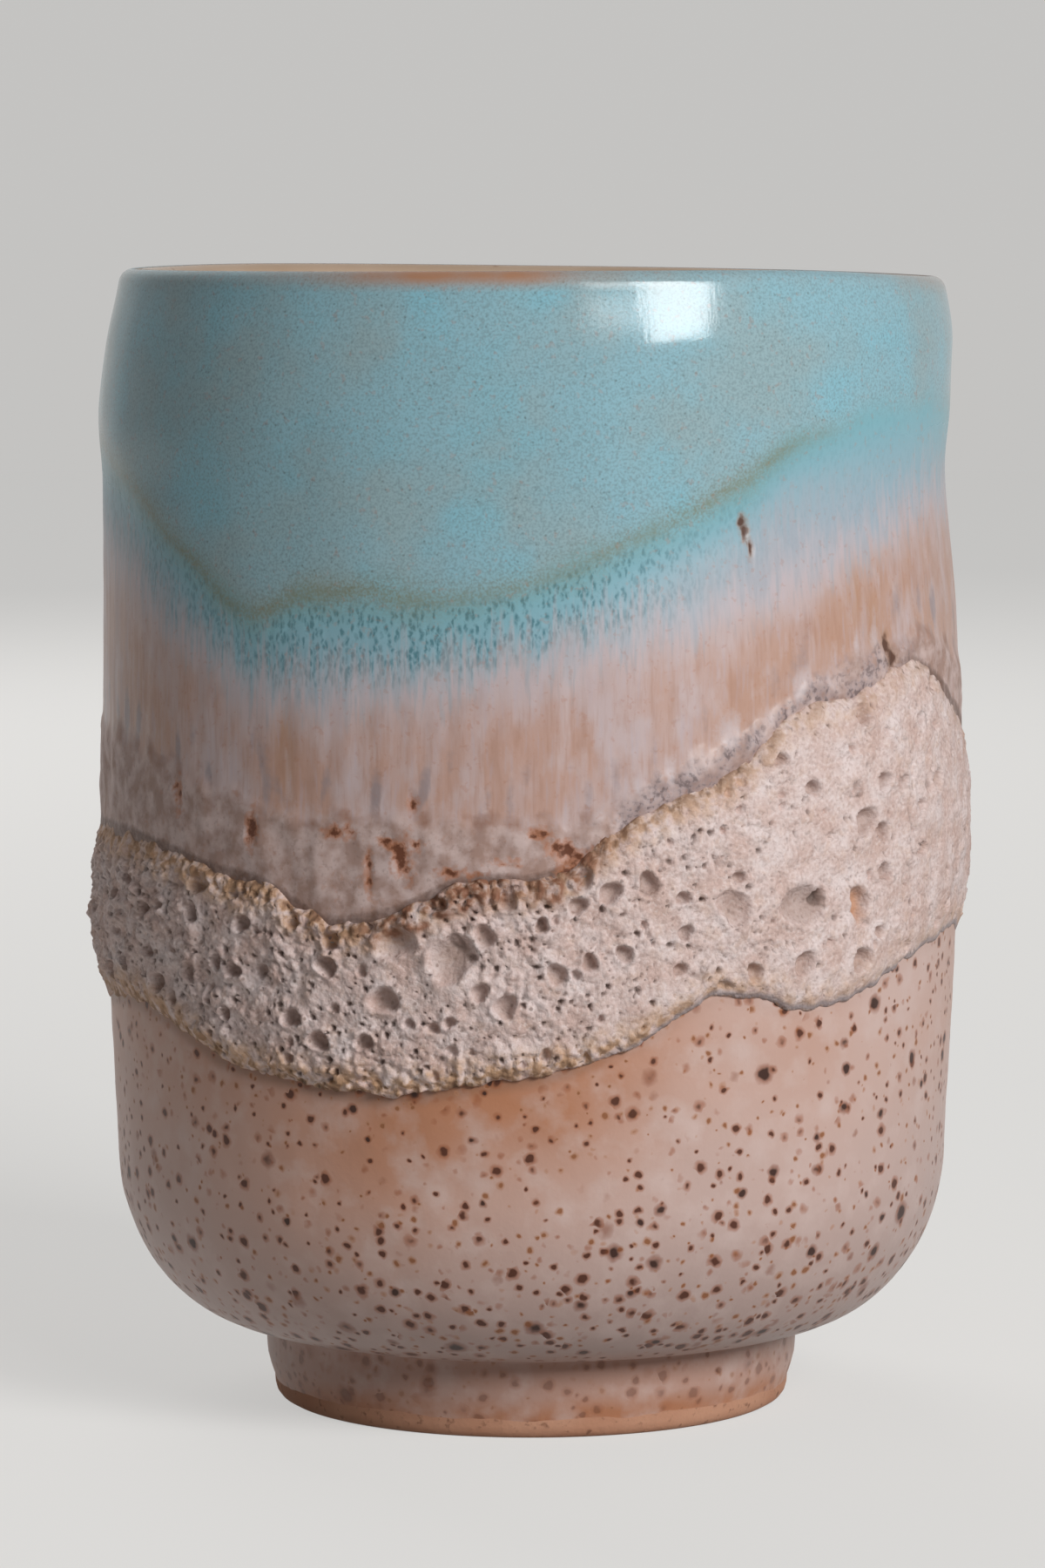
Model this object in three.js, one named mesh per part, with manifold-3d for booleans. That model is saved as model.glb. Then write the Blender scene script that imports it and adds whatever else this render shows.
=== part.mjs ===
// Handleless stoneware cup: a thrown body on a turned foot ring, dressed in fused coats of glaze, with a
// thick band of crater slip that winds round its middle. Millimetres, +Z up, standing on Z = 0.
// Angles are in degrees round the axis: 0 is the front (-Y) and 90 is the right (+X).
import * as THREE from "three";
import { mergeVertices } from "three/addons/utils/BufferGeometryUtils.js";
import Module from "manifold-3d";

const wasm = await Module();
wasm.setup();

// Heights, stacked from the table to the lip: the mean place of each line that the glazes draw.
const FOOT_HEIGHT = 8;
const LOWER_WALL = 32;
const BAND_WIDTH = 18;
const RUN_WIDTH = 19;
const DIP_DEPTH = 28;

// The bare clay's widest radius, and how far the rest of the thrown wall stands in from it.
const BELLY_RADIUS = 39.1;
const HEEL_INSET = 1.1;
const RUN_INSET = 0.1;
const WAIST_INSET = 0.9;
const SHOULDER_INSET = 0.5;
const LIP_INSET = 1.7;

// Where the run, waist and shoulder sit, as a share of the run's width or of the dip's depth.
const RUN_SHARE = 0.65;
const WAIST_SHARE = 0.3;
const SHOULDER_SHARE = 0.56;

// Clay sections.
const HEEL_HEIGHT = 16;
const WALL = 3.6;
const LIP_THICKNESS = 2.6;
const FLOOR = 5;
const FLOOR_RADIUS = 22;

// Foot ring, and the flat of the underside that stands out round it.
const FOOT_RADIUS = 24.4;
const UNDERSIDE_MARGIN = 1;
const FOOT_WIDTH = 4.6;
const FOOT_BEVEL = 0.9;
const FOOT_DRAFT = 0.5;
const BARE_FOOT = 2.4;

// Coats.
const SPECKLED_COAT = 0.5;
const STREAKED_COAT = 0.5;
const TURQUOISE_COAT = 0.7;
const LINER_COAT = 0.5;
const LIP_COAT = 0.25;
const LIP_TAPER_POWER = 4;
const SEAM = 0.35;

// Crater band.
const BAND_RISE = 1.7;
const BAND_EDGE = 0.8;
const BAND_SHOULDER_POWER = 5;
const BAND_LUMP = 0.22;
const CRATER_DIAMETER = 2;
const CRATER_DEPTH_SHARE = 0.36;
const CRATER_FLOOR = 0.35;

// Handwork: the throwing left the upper wall a little off centre, dented and uneven at the lip.
const SWAY = 0.7;
const SWAY_SHARE = 0.4;
const SWAY_SPREAD_SHARE = 0.45;
const DENT_DEPTH = 0.45;
const DENT_SPREAD = 9;
const LIP_WAVE = 0.3;
const LIP_HIGH_ANGLE = 20;

// Facets: strips round the axis, and the sides and rings of a crater's cutter.
const STRIPS = 56;
const CRATER_SIDES = 8;
const CRATER_RINGS = 5;

// Lines that the glazes draw, as [angle, share of the mean size].
const LOWER_WALL_SHARES = [
  [-90, 0.93], [-66, 0.97], [-55, 0.93], [-45, 0.85], [-36, 0.82], [-20, 0.78], [-8, 0.82], [3, 0.86],
  [14, 0.94], [24, 1.05], [37, 1.0], [46, 1.02], [60, 1.11], [77, 1.15], [100, 1.06], [125, 0.89],
  [150, 0.95], [175, 1.08], [200, 1.11], [225, 1.0], [250, 0.97],
];
const BAND_WIDTH_SHARES = [
  [-90, 0.92], [-66, 0.84], [-55, 0.87], [-45, 0.94], [-36, 0.94], [-27, 0.82], [-18, 0.9], [-8, 1.0],
  [2, 0.95], [14, 1.1], [26, 1.12], [37, 1.49], [46, 1.5], [58, 1.49], [66, 1.37], [77, 1.11],
  [100, 1.0], [125, 1.2], [150, 1.25], [175, 1.05], [200, 0.8], [225, 0.86], [250, 0.95],
];
const DIP_DEPTH_SHARES = [
  [-90, 0.83], [-76, 0.86], [-64, 0.94], [-55, 1.06], [-46, 1.16], [-39, 1.25], [-30, 1.26], [-12, 1.22],
  [2, 1.14], [17, 1.05], [34, 0.93], [57, 0.75], [70, 0.68], [90, 0.7], [110, 0.83], [130, 1.0],
  [150, 1.09], [175, 0.96], [200, 0.87], [225, 0.96], [250, 0.93],
];

// The largest burst bubbles of the band's front, as [angle, share of the band's width, share of the common
// diameter].
const FRONT_CRATER_SHARES = [
  [-59, 0.42, 0.9], [-49, 0.34, 0.9], [-48, 0.72, 0.9], [-41, 0.86, 0.8], [-36, 0.55, 0.8], [-31, 0.35, 1],
  [-27, 0.26, 1], [-26, 0.72, 1.05], [-26, 0.87, 0.9], [-18.6, 0.54, 1.35], [-17, 0.82, 1.7], [-10, 0.65, 2.15],
  [-6, 0.46, 0.9], [-5, 0.74, 1.05], [-3, 0.37, 1.1], [3, 0.51, 1.05], [7, 0.53, 0.85], [10, 0.78, 1.05],
  [14.5, 0.7, 1.05], [26, 0.4, 1.7], [36, 0.35, 2.2], [36, 0.14, 1.15], [37, 0.73, 0.9], [45.5, 0.32, 1.3],
  [50, 0.52, 1.1], [54, 0.64, 0.9], [59, 0.45, 0.9],
];

// The unseen back of the band: bubbles scattered over an arc by the golden ratio, clear of the band's edges.
const BACK_CRATERS = 34;
const BACK_ANGLES = [72, 292];
const BACK_SPREAD_SHARES = [0.16, 0.84];
const BACK_SIZE_SHARES = [0.85, 1.8];

// Lumps of the slip, as [waves round the cup, radians across the band].
const LUMPS = [[7, 5], [13, -9]];

// Thumb dents of the upper wall, as [angle, share of the dip's depth].
const DENT_SHARES = [[-8, 0.52], [31, 0.26], [105, 0.5], [190, 0.36], [262, 0.6]];

const GOLDEN = (Math.sqrt(5) - 1) / 2;

// Rows of the faceted sections: shares of the heel's quarter turn, of the inner bend's, of the lip's half
// turn and of the band's width.
const HEEL_ROW_SHARES = [0, 0.2, 0.4, 0.6, 0.8, 1];
const BEND_ROW_SHARES = [0, 0.35, 0.7];
const LIP_ROW_SHARES = [0.25, 0.5, 0.75];
const BAND_ROW_SHARES = [0, 0.05, 0.15, 0.3, 0.5, 0.7, 0.85, 0.95, 1];

const HEEL_TOP = FOOT_HEIGHT + HEEL_HEIGHT;
const BAND_BOTTOM = FOOT_HEIGHT + LOWER_WALL;
const BAND_TOP = BAND_BOTTOM + BAND_WIDTH;
const RUN_TOP = BAND_TOP + RUN_WIDTH;
const CUP_HEIGHT = RUN_TOP + DIP_DEPTH;
const LIP_ROUND = LIP_THICKNESS / 2;
const FLOOR_TOP = FOOT_HEIGHT + FLOOR;
const UNDERSIDE_RADIUS = FOOT_RADIUS + UNDERSIDE_MARGIN;

const lerp = THREE.MathUtils.lerp;
const point = (r, z) => new THREE.Vector2(r, z);
const steps = (count) => Array.from({ length: count + 1 }, (_, k) => k / count);

// A smooth curve through [x, y] pairs in rising order; with a period it closes on itself.
function smoothCurve(pairs, period = 0) {
  const count = pairs.length;
  const at = (k) => {
    if (!period) {
      return pairs[Math.min(Math.max(k, 0), count - 1)];
    }
    const turns = Math.floor(k / count);
    const [x, y] = pairs[k - turns * count];
    return [x + turns * period, y];
  };
  const slope = (k) => {
    const [x0, y0] = at(k - 1);
    const [x1, y1] = at(k + 1);
    return (y1 - y0) / (x1 - x0);
  };
  return (x) => {
    const start = pairs[0][0];
    const place = period ? start + THREE.MathUtils.euclideanModulo(x - start, period) : x;
    let k = 0;
    while (k < (period ? count - 1 : count - 2) && at(k + 1)[0] <= place) {
      k += 1;
    }
    const [x0, y0] = at(k);
    const [x1, y1] = at(k + 1);
    const t = (place - x0) / (x1 - x0);
    const bend0 = slope(k) * (x1 - x0);
    const bend1 = slope(k + 1) * (x1 - x0);
    return y0 + t * bend0 + t * t * (3 * (y1 - y0) - 2 * bend0 - bend1)
      + t * t * t * (bend0 + bend1 - 2 * (y1 - y0));
  };
}

// Heights of the glaze lines at one angle.
const lowerWallShare = smoothCurve(LOWER_WALL_SHARES, 360);
const bandShare = smoothCurve(BAND_WIDTH_SHARES, 360);
const dipShare = smoothCurve(DIP_DEPTH_SHARES, 360);

function lines(angle) {
  const bandLow = FOOT_HEIGHT + LOWER_WALL * lowerWallShare(angle);
  const bandHigh = bandLow + BAND_WIDTH * bandShare(angle);
  const dipLow = CUP_HEIGHT - DIP_DEPTH * dipShare(angle);
  const lip = CUP_HEIGHT + LIP_WAVE * (Math.cos(THREE.MathUtils.degToRad(angle - LIP_HIGH_ANGLE)) - 1);
  return { bandLow, bandHigh, dipLow, shoulder: lip - LIP_ROUND };
}

// The clay's outer wall above the heel: a thrown profile, plus the sway and dents of the hand.
const thrownRadius = smoothCurve([
  [HEEL_TOP, BELLY_RADIUS - HEEL_INSET],
  [(BAND_BOTTOM + BAND_TOP) / 2, BELLY_RADIUS],
  [lerp(BAND_TOP, RUN_TOP, RUN_SHARE), BELLY_RADIUS - RUN_INSET],
  [lerp(RUN_TOP, CUP_HEIGHT, WAIST_SHARE), BELLY_RADIUS - WAIST_INSET],
  [lerp(RUN_TOP, CUP_HEIGHT, SHOULDER_SHARE), BELLY_RADIUS - SHOULDER_INSET],
  [CUP_HEIGHT, BELLY_RADIUS - LIP_INSET],
]);

function handwork(angle, z) {
  const rise = THREE.MathUtils.smoothstep(z, HEEL_TOP, BAND_TOP);
  const dip = (z - RUN_TOP) / DIP_DEPTH;
  const swayFade = Math.exp(-(((dip - SWAY_SHARE) / SWAY_SPREAD_SHARE) ** 2));
  const sway = -SWAY * swayFade * Math.sin(THREE.MathUtils.degToRad(angle));
  let dents = 0;
  for (const [dentAngle, dentShare] of DENT_SHARES) {
    const turn = THREE.MathUtils.euclideanModulo(angle - dentAngle + 180, 360) - 180;
    const across = THREE.MathUtils.degToRad(turn) * BELLY_RADIUS / DENT_SPREAD;
    const along = (dip - dentShare) * DIP_DEPTH / DENT_SPREAD;
    dents -= DENT_DEPTH * Math.exp(-(across ** 2) - along ** 2);
  }
  return rise * (sway + dents);
}

const outerWall = (angle, z) => point(thrownRadius(z) + handwork(angle, z), z);

function innerWall(angle, z) {
  const thickness = lerp(WALL, LIP_THICKNESS, THREE.MathUtils.smoothstep(z, BAND_TOP, CUP_HEIGHT));
  return point(outerWall(angle, z).x - thickness, z);
}

// A quarter turn of an ellipse, from a level start to an upright end.
function heelArc(start, end, share) {
  const turn = share * Math.PI / 2;
  return point(lerp(start.x, end.x, Math.sin(turn)), lerp(end.y, start.y, Math.cos(turn)));
}

// Rows of the clay's surface at one angle. The coats reuse these rows, so they lie on the clay face to face.
function wallRows(angle) {
  const { bandLow, bandHigh, dipLow, shoulder } = lines(angle);
  const out = (z) => outerWall(angle, z);
  const between = (low, high, count) => steps(count).map((share) => out(lerp(low, high, share)));
  const heelEnd = out(HEEL_TOP);
  const heel = HEEL_ROW_SHARES.map((share) => heelArc(point(UNDERSIDE_RADIUS, FOOT_HEIGHT), heelEnd, share));
  return {
    heel,
    lower: between(HEEL_TOP, bandLow - SEAM, 2),
    band: between(bandLow, bandHigh, 3),
    run: between(bandHigh + SEAM, dipLow - SEAM, 2),
    dip: between(dipLow, shoulder, 4),
  };
}

function insideRows(angle) {
  const { shoulder } = lines(angle);
  const bendTop = HEEL_TOP + WALL;
  const bendEnd = innerWall(angle, bendTop);
  const bend = BEND_ROW_SHARES.map((share) => heelArc(point(FLOOR_RADIUS, FLOOR_TOP), bendEnd, share));
  const upright = steps(3).map((share) => innerWall(angle, lerp(bendTop, shoulder, share)));
  return [point(0, FLOOR_TOP), ...bend, ...upright];
}

// The foot's section, inner top edge first and outer top edge last, standing on Z = 0.
function footRows() {
  const outer = (z) => point(FOOT_RADIUS - FOOT_DRAFT * (1 - z / FOOT_HEIGHT), z);
  const inner = FOOT_RADIUS - FOOT_WIDTH;
  return {
    hidden: [
      point(inner, FOOT_HEIGHT),
      point(inner + FOOT_DRAFT, FOOT_BEVEL),
      point(inner + FOOT_DRAFT + FOOT_BEVEL, 0),
      point(FOOT_RADIUS - FOOT_DRAFT - FOOT_BEVEL, 0),
      outer(FOOT_BEVEL),
    ],
    coated: [outer(BARE_FOOT), outer(FOOT_HEIGHT)],
  };
}

// The rows moved off the surface by a coat's thickness, mitred where the section turns a corner.
function lifted(rows, thicknessAt) {
  const normals = rows.slice(1).map((row, k) => {
    const along = row.clone().sub(rows[k]).normalize();
    return point(along.y, -along.x);
  });
  return rows.map((row, k) => {
    const before = normals[Math.max(k - 1, 0)];
    const after = normals[Math.min(k, normals.length - 1)];
    const mid = before.clone().add(after).normalize();
    return row.clone().addScaledVector(mid, thicknessAt(k / (rows.length - 1)) / mid.dot(after));
  });
}

// A closed skin round the axis. A section is given at each strip, outer side rising; where it starts or
// ends on the axis the ring shrinks to one point. Each cell is split from its lower left to its upper
// right corner, so skins that share rows share their triangles as well.
function skin(sectionAt) {
  const sections = steps(STRIPS).slice(0, -1).map((share) => sectionAt(share * 360));
  const count = sections[0].length;
  const onAxis = (j) => sections[0][j].x === 0;
  const closed = !onAxis(0);
  const positions = [];
  const rings = [];
  for (let j = 0; j < count; j += 1) {
    const copies = onAxis(j) ? 1 : STRIPS;
    rings.push({ first: positions.length / 3, copies });
    for (let i = 0; i < copies; i += 1) {
      const turn = (i / STRIPS) * Math.PI * 2;
      const { x, y } = sections[i][j];
      positions.push(x * Math.sin(turn), -x * Math.cos(turn), y);
    }
  }
  const index = [];
  const corner = (j, i) => rings[j].first + (i % rings[j].copies);
  for (let j = 0; j < (closed ? count : count - 1); j += 1) {
    const next = (j + 1) % count;
    for (let i = 0; i < STRIPS; i += 1) {
      const [a, b, c, d] = [corner(j, i), corner(j, i + 1), corner(next, i + 1), corner(next, i)];
      const rising = sections[i][next].y >= sections[i][j].y;
      const cells = rising ? [[a, b, c], [a, c, d]] : [[a, b, d], [b, c, d]];
      for (const cell of cells) {
        if (new Set(cell).size === 3) {
          index.push(...cell);
        }
      }
    }
  }
  const geometry = new THREE.BufferGeometry();
  geometry.setAttribute("position", new THREE.Float32BufferAttribute(positions, 3));
  geometry.setIndex(index);
  return geometry;
}

// A coat on the given rows of the clay, listed from the bottom up.
function coat(rowsAt, thicknessAt) {
  return skin((angle) => {
    const rows = rowsAt(angle);
    return [...lifted(rows, thicknessAt), ...rows.toReversed()];
  });
}

// Thrown body: underside, heel, wall, rounded lip, inside and floor, in one turn of the section.
function clayBody() {
  return skin((angle) => {
    const { heel, lower, band, run, dip } = wallRows(angle);
    const inside = insideRows(angle).toReversed();
    const outerEdge = dip.at(-1);
    const lip = LIP_ROW_SHARES.map((share) => {
      const turn = share * Math.PI;
      const middle = outerEdge.x - LIP_ROUND;
      return point(middle + LIP_ROUND * Math.cos(turn), outerEdge.y + LIP_ROUND * Math.sin(turn));
    });
    return [point(0, FOOT_HEIGHT), ...heel, ...lower.slice(1), ...band, ...run, ...dip, ...lip, ...inside];
  });
}

// Turned foot ring, its flat top under the body's flat underside.
function footRing() {
  const { hidden, coated } = footRows();
  return skin(() => [...hidden, ...coated]);
}

// Speckled coat: up the foot, out along the underside's margin, round the heel and up to the band.
function speckledGlaze() {
  return coat((angle) => {
    const { heel, lower } = wallRows(angle);
    return [...footRows().coated, ...heel, ...lower.slice(1)];
  }, () => SPECKLED_COAT);
}

function streakedGlaze() {
  return coat((angle) => wallRows(angle).run, () => STREAKED_COAT);
}

// Dipped coat, thin where the hot glaze ran off the lip.
function turquoiseGlaze() {
  const thicknessAt = (share) => lerp(TURQUOISE_COAT, LIP_COAT, share ** LIP_TAPER_POWER);
  return coat((angle) => wallRows(angle).dip, thicknessAt);
}

// Liner: a bowl inside the body, closed on the axis.
function linerGlaze() {
  return skin((angle) => {
    const clay = insideRows(angle);
    const thicknessAt = (share) => lerp(LINER_COAT, LIP_COAT, share ** LIP_TAPER_POWER);
    const bare = lifted(clay, (share) => -thicknessAt(share));
    return [...clay, ...bare.toReversed()];
  });
}

// Crater band: how far the slip stands off the wall, at an angle and a share of the band's width.
function bandThickness(angle, share) {
  const dome = 1 - Math.abs(2 * share - 1) ** BAND_SHOULDER_POWER;
  const turn = THREE.MathUtils.degToRad(angle);
  const lumps = LUMPS.map(([waves, across]) => Math.sin(waves * turn + across * share));
  return lerp(BAND_EDGE, BAND_RISE, dome) + BAND_LUMP * dome * (lumps[0] + lumps[1]) / 2;
}

function bandSurface(angle, share) {
  const { bandLow, bandHigh } = lines(angle);
  const foot = outerWall(angle, lerp(bandLow, bandHigh, share));
  return point(foot.x + bandThickness(angle, share), foot.y);
}

function solid(geometry) {
  const vertProperties = new Float32Array(geometry.getAttribute("position").array);
  const triVerts = new Uint32Array(geometry.getIndex().array);
  return new wasm.Manifold(new wasm.Mesh({ numProp: 3, vertProperties, triVerts }));
}

// A burst bubble's cutter: a ball that sinks into the slip and leaves a floor of it on the wall.
function craterCutter(angle, share, size) {
  const diameter = CRATER_DIAMETER * size;
  const depth = Math.min(CRATER_DEPTH_SHARE * diameter, bandThickness(angle, share) - CRATER_FLOOR);
  const radius = (diameter * diameter / 4 + depth * depth) / (2 * depth);
  const surface = bandSurface(angle, share);
  const out = surface.x + radius - depth;
  const turn = THREE.MathUtils.degToRad(angle);
  const ball = new THREE.SphereGeometry(radius, CRATER_SIDES, CRATER_RINGS);
  ball.deleteAttribute("normal");
  ball.deleteAttribute("uv");
  ball.rotateZ(turn);
  ball.translate(out * Math.sin(turn), -out * Math.cos(turn), surface.y);
  return solid(mergeVertices(ball));
}

function craters() {
  const back = steps(BACK_CRATERS).slice(1).map((place, k) => [
    lerp(...BACK_ANGLES, place),
    lerp(...BACK_SPREAD_SHARES, (k * GOLDEN) % 1),
    lerp(...BACK_SIZE_SHARES, ((k * GOLDEN * GOLDEN * GOLDEN) % 1) ** 2),
  ]);
  return [...FRONT_CRATER_SHARES, ...back];
}

function craterBand() {
  const slip = skin((angle) => {
    const outer = BAND_ROW_SHARES.map((share) => bandSurface(angle, share));
    return [...outer, ...wallRows(angle).band.toReversed()];
  });
  let band = solid(slip);
  for (const [angle, share, size] of craters()) {
    band = band.subtract(craterCutter(angle, share, size));
  }
  const { vertProperties, triVerts } = band.getMesh();
  const geometry = new THREE.BufferGeometry();
  geometry.setAttribute("position", new THREE.Float32BufferAttribute(vertProperties, 3));
  geometry.setIndex(Array.from(triVerts));
  return geometry;
}

const cup = new THREE.Group();

function addPiece(name, geometry, color, roughness) {
  geometry.computeVertexNormals();
  const piece = new THREE.Mesh(geometry, new THREE.MeshStandardMaterial({ color, roughness, metalness: 0 }));
  piece.name = name;
  cup.add(piece);
}

addPiece("clay_body", clayBody(), 0xb88766, 0.85);
addPiece("foot_ring", footRing(), 0xb98663, 0.8);
addPiece("speckled_glaze", speckledGlaze(), 0xb78d7a, 0.45);
addPiece("crater_band", craterBand(), 0xc8b0a7, 0.9);
addPiece("streaked_glaze", streakedGlaze(), 0xb9a398, 0.35);
addPiece("turquoise_glaze", turquoiseGlaze(), 0x6f9fa3, 0.12);
addPiece("liner_glaze", linerGlaze(), 0xd8ccb6, 0.2);

export default cup;
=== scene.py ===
import math
from itertools import accumulate

import bpy
import numpy as np
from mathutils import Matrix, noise


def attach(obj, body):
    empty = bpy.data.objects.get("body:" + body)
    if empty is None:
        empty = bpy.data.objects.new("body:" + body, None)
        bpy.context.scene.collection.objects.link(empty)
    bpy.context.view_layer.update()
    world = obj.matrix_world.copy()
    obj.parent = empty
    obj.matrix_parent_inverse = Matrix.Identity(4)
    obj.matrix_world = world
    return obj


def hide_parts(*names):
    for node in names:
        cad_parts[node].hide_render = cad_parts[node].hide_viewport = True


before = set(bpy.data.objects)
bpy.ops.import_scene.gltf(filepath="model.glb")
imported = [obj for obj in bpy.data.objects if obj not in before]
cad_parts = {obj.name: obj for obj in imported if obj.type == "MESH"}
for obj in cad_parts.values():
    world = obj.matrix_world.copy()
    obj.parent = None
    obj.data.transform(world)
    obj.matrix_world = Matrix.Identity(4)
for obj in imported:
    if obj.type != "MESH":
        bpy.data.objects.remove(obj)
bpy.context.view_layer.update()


# The thrown body: one wall of buff stoneware turned on the wheel, which swells to the belly, draws in
# under the rim and leans and dents a little where it was held. Glaze covers all of it but the crest
# of the lip, where it breaks to rust, and the underside within the foot.
MM = 0.001
CUP_HEIGHT = 105.0
UNDERSIDE = 8.0
UNDERSIDE_RADIUS = 25.4
UNDERSIDE_RINGS = [0.0, 12.0, 20.0, 24.8]
HEEL_TOP = 24.0
HEEL_RADIUS = 38.0
MIDDLE = 58.0
WALL_SECTION = [
    (HEEL_TOP, HEEL_RADIUS), (49, 39.1), (70.35, 39.05), (85.4, 38.45), (92.7, 38.65), (CUP_HEIGHT, 37.4),
]
LEAN, LEAN_HEIGHT, LEAN_SPREAD = 0.7, 88.2, 12.6
SWELL, SWELL_HEIGHT, SWELL_SPREAD = 0.5, 101.0, 5.0
DENT, DENT_SPREAD = 0.2, 9.0
DENT_PLACES = [(-8, 91.6), (31, 84.3), (105, 91.0), (190, 87.1), (262, 93.8)]
WALL = 3.6
LIP_THICKNESS = 2.6
# Round the cup, a curve is a list of turns, in degrees from the front, each with its value there.
LIP_DROPS = [
    (-90, 0.2), (-40, 0.15), (20, 0), (42, 0.1), (70, 0.75), (100, 0.9), (140, 0.6), (180, 0.3),
    (225, 0),
]
LIP_BOW = 165
FLOOR_TOP = 13.0
FLOOR_RADIUS = 22.0
FLOOR_RINGS = [14.0, 7.0, 0.0]
BEND_TOP = 27.6


def smooth_curve(points, at, period=360):
    """Height at each place of a smooth line drawn through a few points; a period closes it."""
    xs, ys = np.array(points, float).T
    if period:
        xs = np.concatenate([xs[-2:] - period, xs, xs[:2] + period])
        ys = np.concatenate([ys[-2:], ys, ys[:2]])
        at = (at - xs[2]) % period + xs[2]
    before = np.maximum(np.arange(len(xs)) - 1, 0)
    after = np.minimum(np.arange(len(xs)) + 1, len(xs) - 1)
    slope = (ys[after] - ys[before]) / (xs[after] - xs[before])
    left = np.clip(np.searchsorted(xs, at, side="right") - 1, 0, len(xs) - 2)
    step = xs[left + 1] - xs[left]
    t = np.clip((at - xs[left]) / step, 0, 1)
    return (
        ys[left] * (2 * t**3 - 3 * t**2 + 1)
        + slope[left] * step * (t**3 - 2 * t**2 + t)
        + ys[left + 1] * (3 * t**2 - 2 * t**3)
        + slope[left + 1] * step * (t**3 - t**2)
    )


def ease(value, low, high):
    """0 below low, 1 above high, and a soft rise between them."""
    t = np.clip((value - low) / (high - low), 0, 1)
    return t * t * (3 - 2 * t)


def bell(distance, spread):
    """1 at no distance, fading softly over the spread."""
    return np.exp(-((distance / spread) ** 2))


def across(turn, spot, reach):
    """Millimetres round the wall from a spot's turn, the short way, at a radius of reach."""
    return np.radians((turn - spot + 180) % 360 - 180) * reach


def wall_radius(turn, height):
    """Outside of the bare clay in millimetres, turn in degrees from the front."""
    drop = (HEEL_TOP - height) / (HEEL_TOP - UNDERSIDE)
    heel = UNDERSIDE_RADIUS + (HEEL_RADIUS - UNDERSIDE_RADIUS) * np.sqrt(np.clip(1 - drop**2, 0, 1))
    side = np.sin(np.radians(turn))
    moved = SWELL * np.clip(side, 0, 1) ** 2 * bell(height - SWELL_HEIGHT, SWELL_SPREAD)
    moved = moved - LEAN * side * bell(height - LEAN_HEIGHT, LEAN_SPREAD)
    for spot, level in DENT_PLACES:
        away = np.hypot(across(turn, spot, HEEL_RADIUS), height - level)
        moved = moved - DENT * bell(away, DENT_SPREAD)
    thrown = smooth_curve(WALL_SECTION, height, period=None)
    return np.where(height < HEEL_TOP, heel, thrown + ease(height, HEEL_TOP, MIDDLE) * moved)


def inner_radius(turn, height):
    """Inside of the bare clay in millimetres; the wall thins towards the lip."""
    return wall_radius(turn, height) - WALL - (LIP_THICKNESS - WALL) * ease(height, MIDDLE, CUP_HEIGHT)


def lip_shoulder(turn):
    """Height where the lip starts to round over; the lip dips at one side."""
    return CUP_HEIGHT - smooth_curve(LIP_DROPS, turn) - LIP_THICKNESS / 2


def over_lip(turn, bow, coat=0.0):
    """Radius and height on the round lip, bow in degrees from its outside, with a coat that thins
    towards the crest."""
    bow = np.radians(bow)
    shoulder = lip_shoulder(turn)
    crest = wall_radius(turn, shoulder) - LIP_THICKNESS / 2
    reach = LIP_THICKNESS / 2 + coat * np.abs(np.cos(bow)) ** 0.8
    return crest + reach * np.cos(bow), shoulder + reach * np.sin(bow)


def ring_sheet(name, strips, rows, crowd=0.0):
    """A tube of strips by rows. Gives it back with each vertex's turn and row; crowd draws the
    strips together towards the front."""
    bpy.ops.object.select_all(action="DESELECT")
    bpy.ops.mesh.primitive_cylinder_add(vertices=strips, radius=1, depth=1, end_fill_type="NOTHING")
    sheet = bpy.context.object
    sheet.name = sheet.data.name = name
    bpy.ops.object.mode_set(mode="EDIT")
    bpy.ops.mesh.select_mode(type="EDGE")
    bpy.ops.mesh.select_all(action="DESELECT")
    bpy.ops.object.mode_set(mode="OBJECT")
    for edge in sheet.data.edges:
        low, high = (sheet.data.vertices[v].co.z for v in edge.vertices)
        edge.select = abs(high - low) > 0.5
    bpy.ops.object.mode_set(mode="EDIT")
    bpy.ops.mesh.subdivide(number_cuts=rows - 2)
    bpy.ops.object.mode_set(mode="OBJECT")
    places = np.empty(len(sheet.data.vertices) * 3)
    sheet.data.vertices.foreach_get("co", places)
    x, y, z = places.reshape(-1, 3).T
    turn = np.arctan2(x, -y)
    turn = np.degrees(turn - crowd * np.sin(turn))
    return sheet, turn, np.rint((z + 0.5) * (rows - 1)).astype(int)


def rise(row, start, end):
    """How far a row has come along a stretch of rows: 1 at its last, and 0 just before its first."""
    return np.clip((row - start + 1) / (end - start), 0, 1)


def by_ring(row, start, rings):
    """Each row's own value, out of a list with one for each row from a start."""
    return np.choose(np.clip(row - start, 0, len(rings) - 1), rings)


def shape_rings(sheet, turn, radius, height):
    """Moves each vertex to its turn, radius and height, closes the shell and smooths it."""
    spot = np.radians(turn)
    places = np.stack([radius * np.sin(spot), -radius * np.cos(spot), height], axis=1) * MM
    sheet.data.vertices.foreach_set("co", places.ravel())
    sheet.data.update()
    bpy.ops.object.mode_set(mode="EDIT")
    bpy.ops.mesh.select_all(action="SELECT")
    bpy.ops.mesh.remove_doubles(threshold=0.000002)
    bpy.ops.mesh.normals_make_consistent(inside=False)
    bpy.ops.object.mode_set(mode="OBJECT")
    bpy.ops.object.shade_smooth()


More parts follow.
